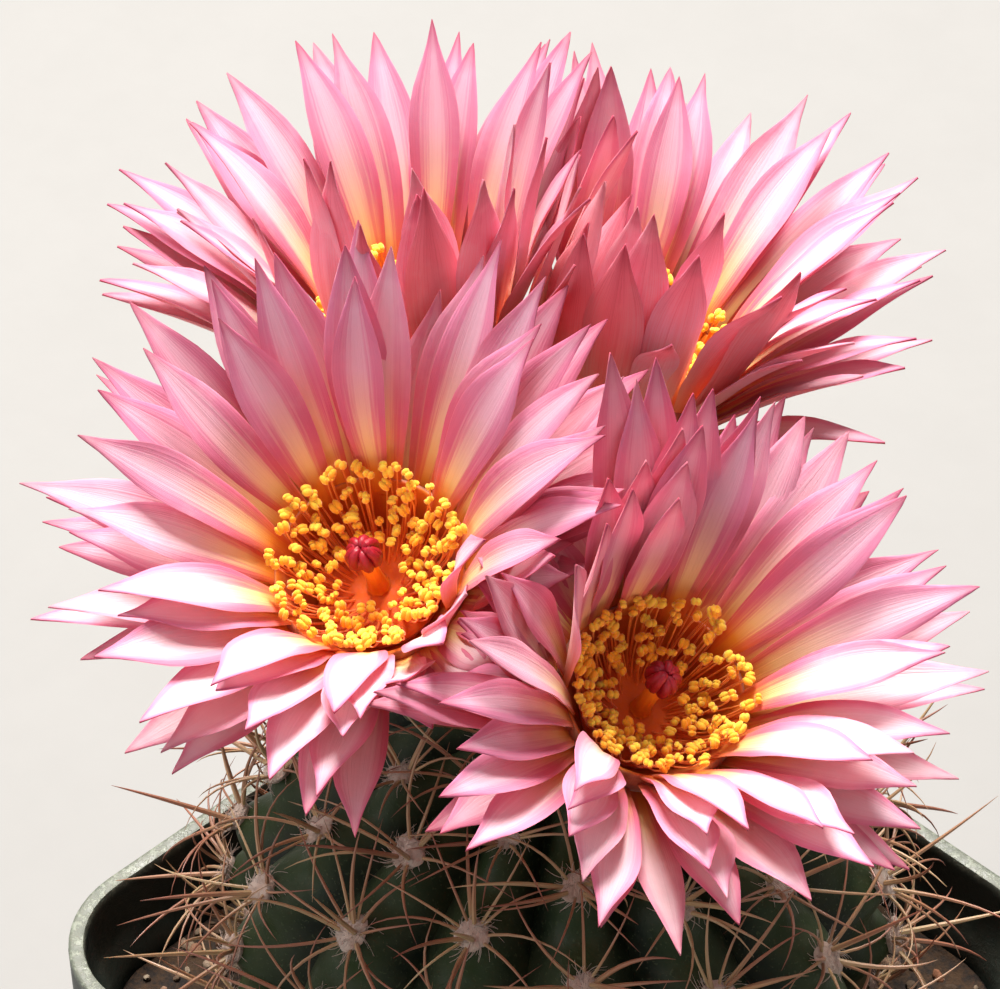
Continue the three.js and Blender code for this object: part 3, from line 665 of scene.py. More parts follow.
    def placed(self, bloom: Bloom, whorl: Whorl, k: float, seed: float) -> Petal | None:
        """Return a petal after crowding.

        Args:
            bloom: the bloom that it stands in.
            whorl: its whorl.
            k: its number in the whorl.
            seed: its number for its draws.

        Returns:
            The petal, or None where it doesn't fit.
        """
        site = bloom.site
        angle = 2 * math.pi * (k + whorl.phase + self.angle_range * draw(seed, 1)) / whorl.count
        length = whorl.length * bloom.size * (1 + self.length_range * draw(seed, 2))
        width = whorl.width * bloom.size * (1 + self.width_range * draw(seed, 3))
        rise = self.low_side_rise - self.inner_drop * max(0.0, 1 - whorl.rank)
        rise *= max(0.0, -float(bloom.out(angle)[2]))
        root_lean = whorl.root_lean * site.opening - self.root_share * rise
        tip_lean = whorl.tip_lean * site.opening + self.tip_range * draw(seed, 4) - rise
        petal = Petal(whorl.rank, angle, whorl.radius, whorl.height, length, width, root_lean, tip_lean, seed)
        if whorl in FILLING_WHORLS:
            least_lean = max(tip_lean - self.filling_closing, site.least_lean)
            return self.fit(bloom, petal, self.filling_margin, least_lean, self.filling_share)[0]
        crowded = min(self.crowding(bloom, petal), self.most_crowding)
        turned = math.radians(self.turning * crowded) * self.turn_away(bloom, angle)
        petal = replace(petal, angle=angle + turned)
        pressed = self.crowding(bloom, petal)
        if whorl is OUTERMOST and pressed > self.hidden_beyond:
            return None
        most = GUIDE.tip_lean * site.opening - pressed + self.rank_lean * (whorl.rank - GUIDE.rank)
        if pressed > 0 and tip_lean > most:
            petal = replace(petal, root_lean=root_lean - self.root_share * (tip_lean - most), tip_lean=most)
        margin = self.margin + self.layer_step * (OUTERMOST.rank - whorl.rank)
        return self.fit(bloom, petal, margin, site.least_lean + self.rank_lean * whorl.rank)[0]


RULES = PetalRules()


@dataclass(frozen=True)
class Numbering:
    """How petals are numbered for their draws: first number, and steps for a bloom and for a rank."""

    first: int
    bloom_step: int
    rank_step: int

    def seed(self, bloom: Bloom, whorl: Whorl, k: float) -> float:
        """Return the number of petal k of a whorl."""
        return self.first + self.bloom_step * bloom.index + self.rank_step * whorl.rank + k


MAIN_NUMBERS = Numbering(100, 100, 20)
FILLING_NUMBERS = Numbering(5000, 200, 50)
INSERTED_NUMBERS = Numbering(9000, 0, 10)


def petals_of(bloom: Bloom) -> list[Petal]:
    """Find every petal of a bloom: those of its solids, and those that fill in between.

    Args:
        bloom: the bloom.

    Returns:
        The petals.
    """
    kinds = ((WHORLS, MAIN_NUMBERS), (FILLING_WHORLS, FILLING_NUMBERS))
    plan = [(whorl, k, numbers) for whorls, numbers in kinds for whorl in whorls for k in range(whorl.count)]
    plan += [(whorl, k, INSERTED_NUMBERS) for index, whorl, k in INSERTED if index == bloom.index]
    found = [RULES.placed(bloom, whorl, k, numbers.seed(bloom, whorl, k)) for whorl, k, numbers in plan]
    tucked = [petal for fan in FANS if fan.bloom == bloom.index for petal in fan.petals()]
    return [petal for petal in found if petal is not None] + tucked


# Shader graphs

Feed = Socket | float | tuple[float, ...]
Ramp = tuple[tuple[float, Colour], ...]

def srgb(red: float, green: float, blue: float) -> Colour:
    """Turn a colour as seen on a screen, 0 to 1, into the light values that shaders use."""
    return tuple(c / 12.92 if c <= 0.04045 else ((c + 0.055) / 1.055) ** 2.4 for c in (red, green, blue))


def ramp_of(*rows: tuple[float, float, float, float]) -> Ramp:
    """Return ramp stops from rows of a place and a colour as seen on a screen."""
    return tuple((place, srgb(*colour)) for place, *colour in rows)


class Graph:
    """Adds nodes to one shader tree and links them."""

    def __init__(self, tree: bpy.types.NodeTree) -> None:
        """Work on a tree."""
        self.tree = tree

    def add(self, kind: str, **settings: object) -> bpy.types.Node:
        """Add a node.

        Args:
            kind: its kind.
            settings: its settings, by name.

        Returns:
            The node.
        """
        node = self.tree.nodes.new(kind)
        for key, value in settings.items():
            setattr(node, key, value)
        return node

    def feed(self, socket: Socket, value: Feed) -> None:
        """Link a socket to an input, or give the input a value.

        Args:
            socket: the input.
            value: a socket, a number or a colour.
        """
        if isinstance(value, Socket):
            self.tree.links.new(value, socket)
        elif isinstance(value, tuple) and socket.type == "RGBA":
            socket.default_value = (*value, 1.0)
        else:
            socket.default_value = value

    def math(self, operation: str, a: Feed, b: Feed = 0.0, clamp: bool = False) -> Socket:
        """Add a sum, a product or another operation.

        Args:
            operation: its name.
            a: first number.
            b: second number.
            clamp: the result stays between 0 and 1.

        Returns:
            The result.
        """
        node = self.add("ShaderNodeMath", operation=operation, use_clamp=clamp)
        self.feed(node.inputs[0], a)
        self.feed(node.inputs[1], b)
        return node.outputs[0]

    def times(self, a: Feed, b: Feed, clamp: bool = False) -> Socket:
        """Return a times b."""
        return self.math("MULTIPLY", a, b, clamp)

    def plus(self, a: Feed, b: Feed) -> Socket:
        """Return a plus b."""
        return self.math("ADD", a, b)

    def over(self, colour: Feed, other: Feed, mask: Feed, amount: Feed) -> Socket:
        """Return a colour with another laid over it in the places of a mask, up to an amount."""
        return self.mix(self.times(mask, amount), colour, other)

    def band(self, value: Feed, low: float, high: float, start: float = 0.0, end: float = 1.0) -> Socket:
        """Change smoothly from one value to another.

        Args:
            value: what the change follows.
            low: where it begins.
            high: where it ends.
            start: the value at low.
            end: the value at high.

        Returns:
            The changing value.
        """
        node = self.add("ShaderNodeMapRange", interpolation_type="SMOOTHSTEP")
        for socket, given in zip(node.inputs, (value, low, high, start, end), strict=False):
            self.feed(socket, given)
        return node.outputs[0]

    def mix(self, share: Feed, a: Feed, b: Feed, blend: str = "MIX") -> Socket:
        """Mix two colours.

        Args:
            share: how much of the second colour, from 0 to 1.
            a: first colour.
            b: second colour.
            blend: the way of mixing.

        Returns:
            The mixed colour.
        """
        node = self.add("ShaderNodeMix", data_type="RGBA", blend_type=blend)
        self.feed(node.inputs[0], share)
        self.feed(node.inputs[6], a)
        self.feed(node.inputs[7], b)
        return node.outputs[2]

    def ramp(self, share: Feed, stops: Ramp) -> Socket:
        """Run through a row of colours.

        Args:
            share: the place in the row, from 0 to 1.
            stops: places and colours.

        Returns:
            The colour at the place.
        """
        node = self.add("ShaderNodeValToRGB")
        elements = node.color_ramp.elements
        while len(elements) < len(stops):
            elements.new(1.0)
        for element, (place, colour) in zip(elements, stops, strict=True):
            element.position = place
            element.color = (*colour, 1.0)
        self.feed(node.inputs[0], share)
        return node.outputs[0]

    def noise(self, vector: Feed, scale: Feed, detail: float = 3.0, rough: float = 0.55) -> Socket:
        """Make a soft noise.

        Args:
            vector: where it is taken.
            scale: how fine it is.
            detail: how many finer layers it has.
            rough: how strong those are.

        Returns:
            A value from 0 to 1.
        """
        node = self.add("ShaderNodeTexNoise")
        self.feed(node.inputs["Vector"], vector)
        self.feed(node.inputs["Scale"], scale)
        self.feed(node.inputs["Detail"], detail)
        self.feed(node.inputs["Roughness"], rough)
        return node.outputs[0]

    def here(self) -> Socket:
        """Return the place on the object, in metres."""
        return self.add("ShaderNodeTexCoord").outputs["Object"]

    def split(self, vector: Feed) -> tuple[Socket, ...]:
        """Take a vector apart.

        Args:
            vector: the vector.

        Returns:
            Its three numbers.
        """
        node = self.add("ShaderNodeSeparateXYZ")
        self.feed(node.inputs[0], vector)
        return tuple(node.outputs)

    def mark(self, name: str) -> tuple[Socket, ...]:
        """Return the three numbers of a mark of the mesh."""
        return self.split(self.add("ShaderNodeAttribute", attribute_name=name).outputs["Vector"])

    def vector(self, x: Feed, y: Feed, z: Feed) -> Socket:
        """Put a vector together.

        Args:
            x: first number.
            y: second number.
            z: third number.

        Returns:
            The vector.
        """
        node = self.add("ShaderNodeCombineXYZ")
        for socket, value in zip(node.inputs, (x, y, z), strict=True):
            self.feed(socket, value)
        return node.outputs[0]

    def bump(self, height: Feed, strength: Feed, distance: Feed) -> Socket:
        """Raise a relief.

        Args:
            height: its height.
            strength: how much of it shows.
            distance: what a height of 1 stands for, in metres.

        Returns:
            The normal of the relief.
        """
        node = self.add("ShaderNodeBump")
        self.feed(node.inputs["Height"], height)
        self.feed(node.inputs["Strength"], strength)
        self.feed(node.inputs["Distance"], distance)
        return node.outputs[0]

    def group(self, tree: bpy.types.NodeTree, **inputs: Feed) -> Socket:
        """Place a shared group.

        Args:
            tree: the group.
            inputs: its inputs, by name, with underscores for spaces.

        Returns:
            Its first output.
        """
        node = self.add("ShaderNodeGroup", node_tree=tree)
        for key, value in inputs.items():
            self.feed(node.inputs[key.replace("_", " ").title()], value)
        return node.outputs[0]


class Effects:
    """The shader groups that several finishes share."""

    def __init__(self) -> None:
        """Build each group once."""
        self.mottle = self.make_mottle()
        self.grain = self.make_grain()
        self.streaks = self.make_streaks()
        self.dust = self.make_dust()

    @staticmethod
    def start(name: str, output: str, **inputs: float) -> tuple[Graph, dict[str, Socket], Socket]:
        """Begin a group.

        Args:
            name: its name.
            output: name of its output, a vector if that is Normal and else a number.
            inputs: its number inputs with their usual values.

        Returns:
            The graph, its input sockets by name and the socket of its output.
        """
        tree = bpy.data.node_groups.new(name, "ShaderNodeTree")
        for key, value in inputs.items():
            tree.interface.new_socket(name=key.title(), socket_type="NodeSocketFloat").default_value = value
        kind = "NodeSocketVector" if output == "Normal" else "NodeSocketFloat"
        tree.interface.new_socket(name=output, in_out="OUTPUT", socket_type=kind)
        graph = Graph(tree)
        entry = graph.add("NodeGroupInput")
        given = {key: entry.outputs[key.title()] for key in inputs}
        return graph, given, graph.add("NodeGroupOutput").inputs[0]

    def make_mottle(self) -> bpy.types.NodeTree:
        """Build the group for soft uneven patches: Scale, Low and High give a Mask.

        Returns:
            The group.
        """
        graph, given, end = self.start("mottle", "Mask", scale=200.0, low=0.4, high=0.6)
        here = graph.here()
        wide = graph.noise(here, given["scale"], 4.0, 0.6)
        fine = graph.noise(here, graph.times(given["scale"], 4.3), 2.0, 0.5)
        both = graph.plus(graph.times(wide, 0.72), graph.times(fine, 0.28))
        graph.feed(end, graph.band(both, given["low"], given["high"]))
        return graph.tree

    def make_grain(self) -> bpy.types.NodeTree:
        """Build the group for a fine relief: Scale, Strength, Depth and a Height to add give a Normal.

        Returns:
            The group.
        """
        inputs = {"scale": 1500.0, "strength": 0.4, "depth": 0.0001, "height": 0.0}
        graph, given, end = self.start("fine_grain", "Normal", **inputs)
        here = graph.here()
        fine = graph.noise(here, given["scale"], 3.0, 0.6)
        coarse = graph.noise(here, graph.times(given["scale"], 0.23), 2.0, 0.5)
        relief = graph.plus(graph.times(fine, 0.6), graph.times(coarse, 0.8))
        graph.feed(end, graph.bump(graph.plus(relief, given["height"]), given["strength"], given["depth"]))
        return graph.tree

    def make_streaks(self) -> bpy.types.NodeTree:
        """Build the group for lengthwise fibres: Across, Along, Seed and Density give a Mask.

        Returns:
            The group.
        """
        graph, given, end = self.start("streaks", "Mask", across=0.0, along=0.0, seed=0.0, density=8.0)
        across = graph.times(given["across"], given["density"])
        along = graph.times(given["along"], 1.6)
        seed = graph.times(given["seed"], 23.0)
        value = graph.noise(graph.vector(across, along, seed), 1.0, 3.0, 0.6)
        graph.feed(end, graph.band(value, 0.34, 0.66))
        return graph.tree

    def make_dust(self) -> bpy.types.NodeTree:
        """Build the group for dust that lies on what faces up: Scale and Amount give a Mask.

        Returns:
            The group.
        """
        graph, given, end = self.start("dust", "Mask", scale=300.0, amount=0.5)
        normal = graph.split(graph.add("ShaderNodeNewGeometry").outputs["Normal"])
        facing_up = graph.band(normal[2], 0.1, 0.95)
        patches = graph.band(graph.noise(graph.here(), given["scale"], 5.0, 0.65), 0.35, 0.7)
        graph.feed(end, graph.times(graph.times(facing_up, patches), given["amount"], clamp=True))
        return graph.tree


class Finish:
    """A material in the making: its graph and its main shader."""

    def __init__(self, name: str, **constants: float | tuple[float, ...]) -> None:
        """Start a material.

        Args:
            name: its name.
            constants: values of the main shader's inputs, with underscores for spaces.
        """
        self.material = bpy.data.materials.new(name)
        self.material.use_nodes = True
        self.graph = Graph(self.material.node_tree)
        self.shader = self.material.node_tree.nodes["Principled BSDF"]
        for key, value in constants.items():
            self.graph.feed(self.shader.inputs[key.replace("_", " ").title().replace("Ior", "IOR")], value)

    def dress(self, colour: Feed, roughness: Feed, normal: Feed | None = None) -> bpy.types.Material:
        """Link the main shader's inputs.

        Args:
            colour: its colour.
            roughness: its roughness.
            normal: its normal, if there is a relief.

        Returns:
            The material.
        """
        self.graph.feed(self.shader.inputs["Base Color"], colour)
        self.graph.feed(self.shader.inputs["Roughness"], roughness)
        if normal is not None:
            self.graph.feed(self.shader.inputs["Normal"], normal)
        return self.material

    def let_light_through(self, share: float, colour: Feed, normal: Feed) -> None:
        """Mix in a shader that passes light on to the other side.

        Args:
            share: how much of the light it takes.
            colour: the colour of what passes.
            normal: the normal of the surface.
        """
        thin = self.graph.add("ShaderNodeBsdfTranslucent")
        self.graph.feed(thin.inputs["Color"], colour)
        self.graph.feed(thin.inputs["Normal"], normal)
        both = self.graph.add("ShaderNodeMixShader")
        self.graph.feed(both.inputs[0], share)
        self.graph.feed(both.inputs[1], self.shader.outputs[0])
        self.graph.feed(both.inputs[2], thin.outputs[0])
        self.graph.feed(self.material.node_tree.nodes["Material Output"].inputs["Surface"], both.outputs[0])


# Finishes


@dataclass(frozen=True)
class PetalFinish:
    """Silky petals: a pale stripe, pink edges and a yellow foot inside, rose outside."""

    through: float = 0.27
    stripe: Ramp = ramp_of(
        (0.0, 0.92, 0.46, 0.06), (0.09, 0.97, 0.66, 0.20), (0.20, 0.99, 0.87, 0.58),
        (0.36, 0.99, 0.90, 0.76), (0.60, 0.98, 0.88, 0.93), (0.86, 0.96, 0.84, 0.92),
        (1.0, 0.84, 0.44, 0.56),
    )
    edges: Ramp = ramp_of(
        (0.0, 0.92, 0.42, 0.05), (0.09, 0.92, 0.48, 0.22), (0.20, 0.88, 0.46, 0.45),
        (0.36, 0.88, 0.47, 0.60), (0.66, 0.93, 0.66, 0.79), (0.88, 0.91, 0.60, 0.75),
        (1.0, 0.74, 0.30, 0.44),
    )
    back_middle: Ramp = ramp_of(
        (0.0, 0.62, 0.46, 0.33), (0.05, 0.72, 0.46, 0.36), (0.22, 0.92, 0.52, 0.43),
        (0.55, 0.96, 0.44, 0.43), (1.0, 0.70, 0.18, 0.26),
    )
    inner_back: Ramp = ramp_of(
        (0.0, 0.95, 0.76, 0.42), (0.25, 0.99, 0.78, 0.66), (0.60, 0.98, 0.74, 0.80),
        (0.88, 0.94, 0.58, 0.66), (1.0, 0.72, 0.24, 0.34),
    )
    back_edges: Ramp = ramp_of(
        (0.0, 0.76, 0.54, 0.42), (0.30, 0.99, 0.68, 0.60), (0.70, 0.99, 0.60, 0.60),
        (1.0, 0.80, 0.28, 0.38),
    )
    glow: Ramp = ramp_of(
        (0.0, 0.96, 0.80, 0.52), (0.25, 0.95, 0.70, 0.64), (0.55, 0.95, 0.63, 0.68),
        (1.0, 0.96, 0.58, 0.66),
    )
    back_glow: Colour = (1.6, 1.0, 0.9)
    outer_whorl: Colour = srgb(0.88, 0.42, 0.46)
    low_rim: Colour = srgb(0.90, 0.44, 0.60)
    # painted light: the pale colour that petals on the low side of a bloom are lit towards
    light: Colour = srgb(0.99, 0.92, 0.93)
    # multiplied in for the veins, and as painted shade on the insides of the upper petals
    shade: Colour = srgb(0.80, 0.40, 0.50)

    def build(self, effects: Effects) -> bpy.types.Material:
        """Return the material.

        Args:
            effects: the shared groups.

        Returns:
            The material, which reads the marks of the petals.
        """
        finish = Finish("petal", Sheen_Weight=0.25, Sheen_Roughness=0.4, Specular_Ior_Level=0.35)
        graph = finish.graph
        across, along, outer = graph.mark("place")
        tone, rank, low = graph.mark("tint")
        fibres = graph.group(effects.streaks, across=across, along=along, seed=tone, density=9.0)
        fine = graph.group(effects.streaks, across=across, along=along, seed=tone, density=26.0)
        off = graph.math("ABSOLUTE", across)
        wavering = graph.plus(off, graph.times(graph.math("SUBTRACT", fibres, 0.5), 0.28))
        edge = graph.band(wavering, 0.12, 0.74)
        inner = graph.mix(edge, graph.ramp(along, self.stripe), graph.ramp(along, self.edges))
        midrib = graph.band(graph.plus(off, graph.times(fine, 0.1)), 0.05, 0.62)
        back = graph.mix(midrib, graph.ramp(along, self.back_middle), graph.ramp(along, self.back_edges))
        back = graph.mix(graph.band(rank, 0.35, 1.0), graph.ramp(along, self.inner_back), back)
        aged = graph.times(graph.band(rank, 0.45, 1.05), graph.band(along, 0.2, 0.6, 0.0, 0.35))
        inner = graph.mix(aged, inner, self.outer_whorl)
        side = graph.band(outer, 0.3, 0.7)
        colour = graph.mix(side, inner, back)
        rim = graph.times(graph.band(wavering, 0.5, 1.0), graph.band(low, 0.1, 0.9, 0.0, 0.6))
        rim = graph.times(rim, graph.math("SUBTRACT", 1.0, side))
        colour = graph.mix(graph.times(rim, graph.band(along, 0.1, 0.4)), colour, self.low_rim)
        veins = graph.times(graph.band(fine, 0.3, 0.9), graph.band(along, 0.12, 0.5, 0.02, 0.08))
        veins = graph.plus(veins, graph.times(graph.times(side, veins), 2.5))
        colour = graph.mix(veins, colour, self.shade, "MULTIPLY")
        patches = graph.group(effects.mottle, scale=120.0, low=0.42, high=0.62)
        blush = graph.plus(graph.times(tone, 0.5), graph.times(patches, 0.5))
        # painted light: petals on the low side of a bloom are paled towards the light colour, most in their
        # middles and least at their edges and tips; a random blush adds real paler patches
        within = graph.times(graph.band(off, 0.35, 0.95, 1.0, 0.15), graph.band(along, 0.7, 1.0, 1.0, 0.1))
        painted_light = graph.times(graph.band(low, 0.0, 1.0, 0.0, 0.62), within)
        paler_and_painted_light = graph.plus(graph.band(blush, 0.1, 0.8, 0.0, 0.24), painted_light)
        paler_and_painted_light = graph.times(paler_and_painted_light, graph.band(along, 0.25, 0.55), clamp=True)
        # painted shade: the insides of petals on the upper side of a bloom are darkened with the shade colour
        painted_shade = graph.times(graph.band(low, 0.0, 0.5, 0.34, 0.0), graph.band(along, 0.2, 0.5))
        painted_shade = graph.times(painted_shade, graph.math("SUBTRACT", 1.0, side))
        colour = graph.mix(painted_shade, graph.mix(paler_and_painted_light, colour, self.light), self.shade, "MULTIPLY")
        height = graph.plus(graph.times(fibres, 0.9), graph.times(fine, 0.5))
        normal = graph.group(effects.grain, scale=2200.0, strength=0.28, depth=0.0001, height=height)
        rough = graph.band(fine, 0.0, 1.0, 0.42, 0.56)
        glow = graph.mix(side, graph.ramp(along, self.glow), self.back_glow)
        passed = graph.mix(1.0, colour, glow, "MULTIPLY")
        finish.let_light_through(self.through, passed, normal)
        return finish.dress(colour, rough, normal)


@dataclass(frozen=True)
class StamenFinish:
    """Golden powdery anthers on orange filaments, over a deep orange floor."""

    anther: Colour = srgb(1.0, 0.85, 0.25)
    anther_shade: Colour = srgb(1.0, 0.68, 0.06)
    filament_foot: Colour = srgb(0.95, 0.45, 0.03)
    filament_top: Colour = srgb(0.98, 0.60, 0.12)
    floor: Colour = srgb(0.90, 0.38, 0.02)

    def build(self, effects: Effects) -> bpy.types.Material:
        """Build the material.

        Args:
            effects: the shared groups.

        Returns:
            The material.
        """
        finish = Finish("stamen", Subsurface_Weight=0.15, Subsurface_Scale=0.001, Sheen_Weight=0.3)
        graph = finish.graph
        across, along, kind = graph.mark("place")
        tone = graph.mark("tint")[0]
        powder = graph.group(effects.mottle, scale=1500.0, low=0.38, high=0.62)
        turned = graph.plus(graph.times(powder, 0.6), graph.times(tone, 0.4))
        anther = graph.mix(graph.band(turned, -0.1, 0.8), self.anther_shade, self.anther)
        fibres = graph.group(effects.streaks, across=across, along=along, seed=tone, density=5.0)
        stalk = graph.mix(graph.band(along, 0.1, 1.0), self.filament_foot, self.filament_top)
        stalk = graph.over(stalk, self.filament_foot, fibres, 0.25)
        floor = graph.mix(graph.times(powder, 0.3), self.floor, self.filament_foot)
        colour = graph.mix(graph.band(kind, 0.4, 0.6), stalk, anther)
        colour = graph.mix(graph.band(kind, 1.4, 1.6), colour, floor)
        normal = graph.group(effects.grain, scale=5200.0, strength=0.7, depth=0.0001)
        return finish.dress(colour, graph.band(powder, 0.0, 1.0, 0.62, 0.85), normal)


@dataclass(frozen=True)
class FleshFinish:
    """A waxy or velvety part of the bloom with two colours along it and a grain."""

    name: str
    foot: Colour
    top: Colour
    dark: Colour
    roughness: float
    grain: float

    def build(self, effects: Effects) -> bpy.types.Material:
        """Build the material.

        Args:
            effects: the shared groups.

        Returns:
            The material.
        """
        finish = Finish(self.name, Subsurface_Weight=0.2, Subsurface_Scale=0.0015)
        graph = finish.graph
        across, along, _ = graph.mark("place")
        fibres = graph.group(effects.streaks, across=across, along=along, seed=0.3, density=14.0)
        patches = graph.group(effects.mottle, scale=900.0, low=0.4, high=0.65)
        colour = graph.mix(graph.band(along, 0.0, 1.0), self.foot, self.top)
        colour = graph.over(colour, self.dark, fibres, 0.4)
        colour = graph.over(colour, self.top, patches, 0.3)
        normal = graph.group(effects.grain, scale=self.grain, strength=0.6, depth=0.00012)
        rough = graph.band(patches, 0.0, 1.0, self.roughness - 0.08, self.roughness + 0.08)
        return finish.dress(colour, rough, normal)


STYLE_FINISH = FleshFinish(
    "style",
    foot=srgb(0.84, 0.40, 0.06),
    top=srgb(0.96, 0.62, 0.18),
    dark=srgb(0.86, 0.42, 0.08),
    roughness=0.42,
    grain=2600.0,
)
STIGMA_FINISH = FleshFinish(
    "stigma",
    foot=srgb(0.46, 0.0, 0.07),
    top=srgb(0.64, 0.0, 0.12),
    dark=srgb(0.26, 0.0, 0.04),
    roughness=0.5,
    grain=4200.0,
)


@dataclass(frozen=True)
class ReceptacleFinish:
    """A green-brown tube with reddish scales and pale wool."""

    tube: Colour = srgb(0.42, 0.40, 0.22)
    tube_dark: Colour = srgb(0.30, 0.26, 0.15)
    scale_foot: Colour = srgb(0.56, 0.46, 0.26)
    scale_tip: Colour = srgb(0.60, 0.26, 0.20)
    wool: Colour = srgb(0.84, 0.78, 0.70)
    wool_dark: Colour = srgb(0.60, 0.48, 0.40)

    def build(self, effects: Effects) -> bpy.types.Material:
        """Build the material.

        Args:
            effects: the shared groups.

        Returns:
            The material.
        """
        finish = Finish("receptacle", Sheen_Weight=0.2)
        graph = finish.graph
        across, along, kind = graph.mark("place")
        tone = graph.mark("tint")[0]
        patches = graph.group(effects.mottle, scale=500.0, low=0.4, high=0.62)
        fibres = graph.group(effects.streaks, across=across, along=along, seed=tone, density=9.0)
        tube = graph.mix(patches, self.tube_dark, self.tube)
        scale = graph.mix(graph.band(along, 0.2, 0.9), self.scale_foot, self.scale_tip)
        scale = graph.over(scale, self.tube_dark, fibres, 0.3)
        wool = graph.mix(graph.band(tone, -0.6, 0.9), self.wool, self.wool_dark)
        colour = graph.mix(graph.band(kind, 0.4, 0.6), tube, scale)
        colour = graph.mix(graph.band(kind, 1.4, 1.6), colour, wool)
        normal = graph.group(effects.grain, scale=2400.0, strength=0.6, depth=0.00015)
        return finish.dress(colour, graph.band(patches, 0.0, 1.0, 0.55, 0.78), normal)


@dataclass(frozen=True)
class StemFinish:
    """Dark green waxy skin, with painted shade darkening the grooves, pale pores and a little dust."""

    crest: Colour = srgb(0.16, 0.22, 0.11)
    # painted shade: the colour of the grooves between the ribs
    groove: Colour = srgb(0.05, 0.09, 0.05)
    olive: Colour = srgb(0.19, 0.22, 0.10)
    pore: Colour = srgb(0.30, 0.34, 0.22)
    cork: Colour = srgb(0.42, 0.33, 0.22)
    dust: Colour = srgb(0.50, 0.46, 0.38)

    def build(self, effects: Effects) -> bpy.types.Material:
        """Build the material.

        Args:
            effects: the shared groups.

        Returns:
            The material.
        """
        finish = Finish("stem_skin", Specular_Ior_Level=0.25)
        graph = finish.graph
        crest, rise, _ = graph.mark("place")
        patches = graph.group(effects.mottle, scale=160.0, low=0.38, high=0.64)
        # painted shade: the skin darkens from the rib crests into the grooves
        colour = graph.mix(graph.band(crest, 0.25, 0.95), self.groove, self.crest)
        colour = graph.over(colour, self.olive, patches, 0.45)
        pores = graph.band(graph.noise(graph.here(), 2600.0, 1.0, 0.4), 0.64, 0.72, 0.0, 0.4)
        colour = graph.mix(pores, colour, self.pore)
        corky = graph.times(graph.band(rise, 0.42, 0.24), graph.band(patches, 0.2, 0.9))
        colour = graph.mix(corky, colour, self.cork)
        colour = graph.mix(graph.group(effects.dust, scale=420.0, amount=0.07), colour, self.dust)
        height = graph.times(pores, 0.6)
        normal = graph.group(effects.grain, scale=1300.0, strength=0.5, depth=0.0002, height=height)
        return finish.dress(colour, graph.band(patches, 0.0, 1.0, 0.42, 0.6), normal)


@dataclass(frozen=True)
class WoolFinish:
    """Pale grey-pink wool, browner in old tufts, with painted shade darkening it towards its foot."""

    pale: Colour = srgb(0.93, 0.84, 0.77)
    tan: Colour = srgb(0.84, 0.66, 0.56)
    # painted shade: the colour towards the foot of the wool
    deep: Colour = srgb(0.50, 0.36, 0.28)

    def build(self, effects: Effects) -> bpy.types.Material:
        """Build the material.

        Args:
            effects: the shared groups.

        Returns:
            The material.
        """
        finish = Finish("wool", Sheen_Weight=0.5, Sheen_Roughness=0.5, Specular_Ior_Level=0.2)
        graph = finish.graph
        across, along, kind = graph.mark("place")
        tone, age, _ = graph.mark("tint")
        patches = graph.group(effects.mottle, scale=700.0, low=0.36, high=0.66)
        old = graph.plus(graph.times(age, 0.6), graph.times(patches, 0.5))
        colour = graph.mix(graph.band(old, 0.0, 1.0), self.pale, self.tan)
        # painted shade: the lower half of each mound and the foot of each fibre darken towards the deep
        # colour
        colour = graph.mix(graph.band(along, 0.5, 0.0, 0.0, 0.5), colour, self.deep)
        colour = graph.mix(graph.band(tone, -1.0, 1.0, 0.0, 0.3), colour, self.tan)
        matted = graph.group(effects.streaks, across=across, along=along, seed=kind, density=20.0)
        normal = graph.group(effects.grain, scale=3800.0, strength=0.7, depth=0.0003, height=matted)
        return finish.dress(colour, graph.band(patches, 0.0, 1.0, 0.8, 0.95), normal)


@dataclass(frozen=True)
class SpineFinish:
    """Horny spines, straw at the foot, tan to pink-brown above."""

    foot: Colour = srgb(0.80, 0.70, 0.52)
    middle: Colour = srgb(0.68, 0.49, 0.36)
    tip: Colour = srgb(0.44, 0.25, 0.18)
    rosy: Colour = srgb(0.58, 0.36, 0.28)
    pale: Colour = srgb(0.80, 0.70, 0.52)

    def build(self, effects: Effects) -> bpy.types.Material:
        """Build the material.

        Args:
            effects: the shared groups.

        Returns:
            The material.
        """
        finish = Finish("spine", Subsurface_Weight=0.1, Subsurface_Scale=0.0005, Specular_Ior_Level=0.5)
        graph = finish.graph
        across, along, _ = graph.mark("place")
        tone, other, _ = graph.mark("tint")
        colour = graph.ramp(along, ((0.0, self.foot), (0.3, self.middle), (0.8, self.rosy), (1.0, self.tip)))
        colour = graph.mix(graph.band(tone, -0.2, 1.0, 0.0, 0.75), colour, self.pale)
        colour = graph.mix(graph.band(other, 0.0, 1.0, 0.0, 0.6), colour, self.rosy)
        fibres = graph.group(effects.streaks, across=across, along=along, seed=tone, density=7.0)
        colour = graph.over(colour, self.tip, fibres, 0.3)
        normal = graph.group(effects.grain, scale=5200.0, strength=0.3, depth=0.00005, height=fibres)
        return finish.dress(colour, graph.band(fibres, 0.0, 1.0, 0.34, 0.5), normal)


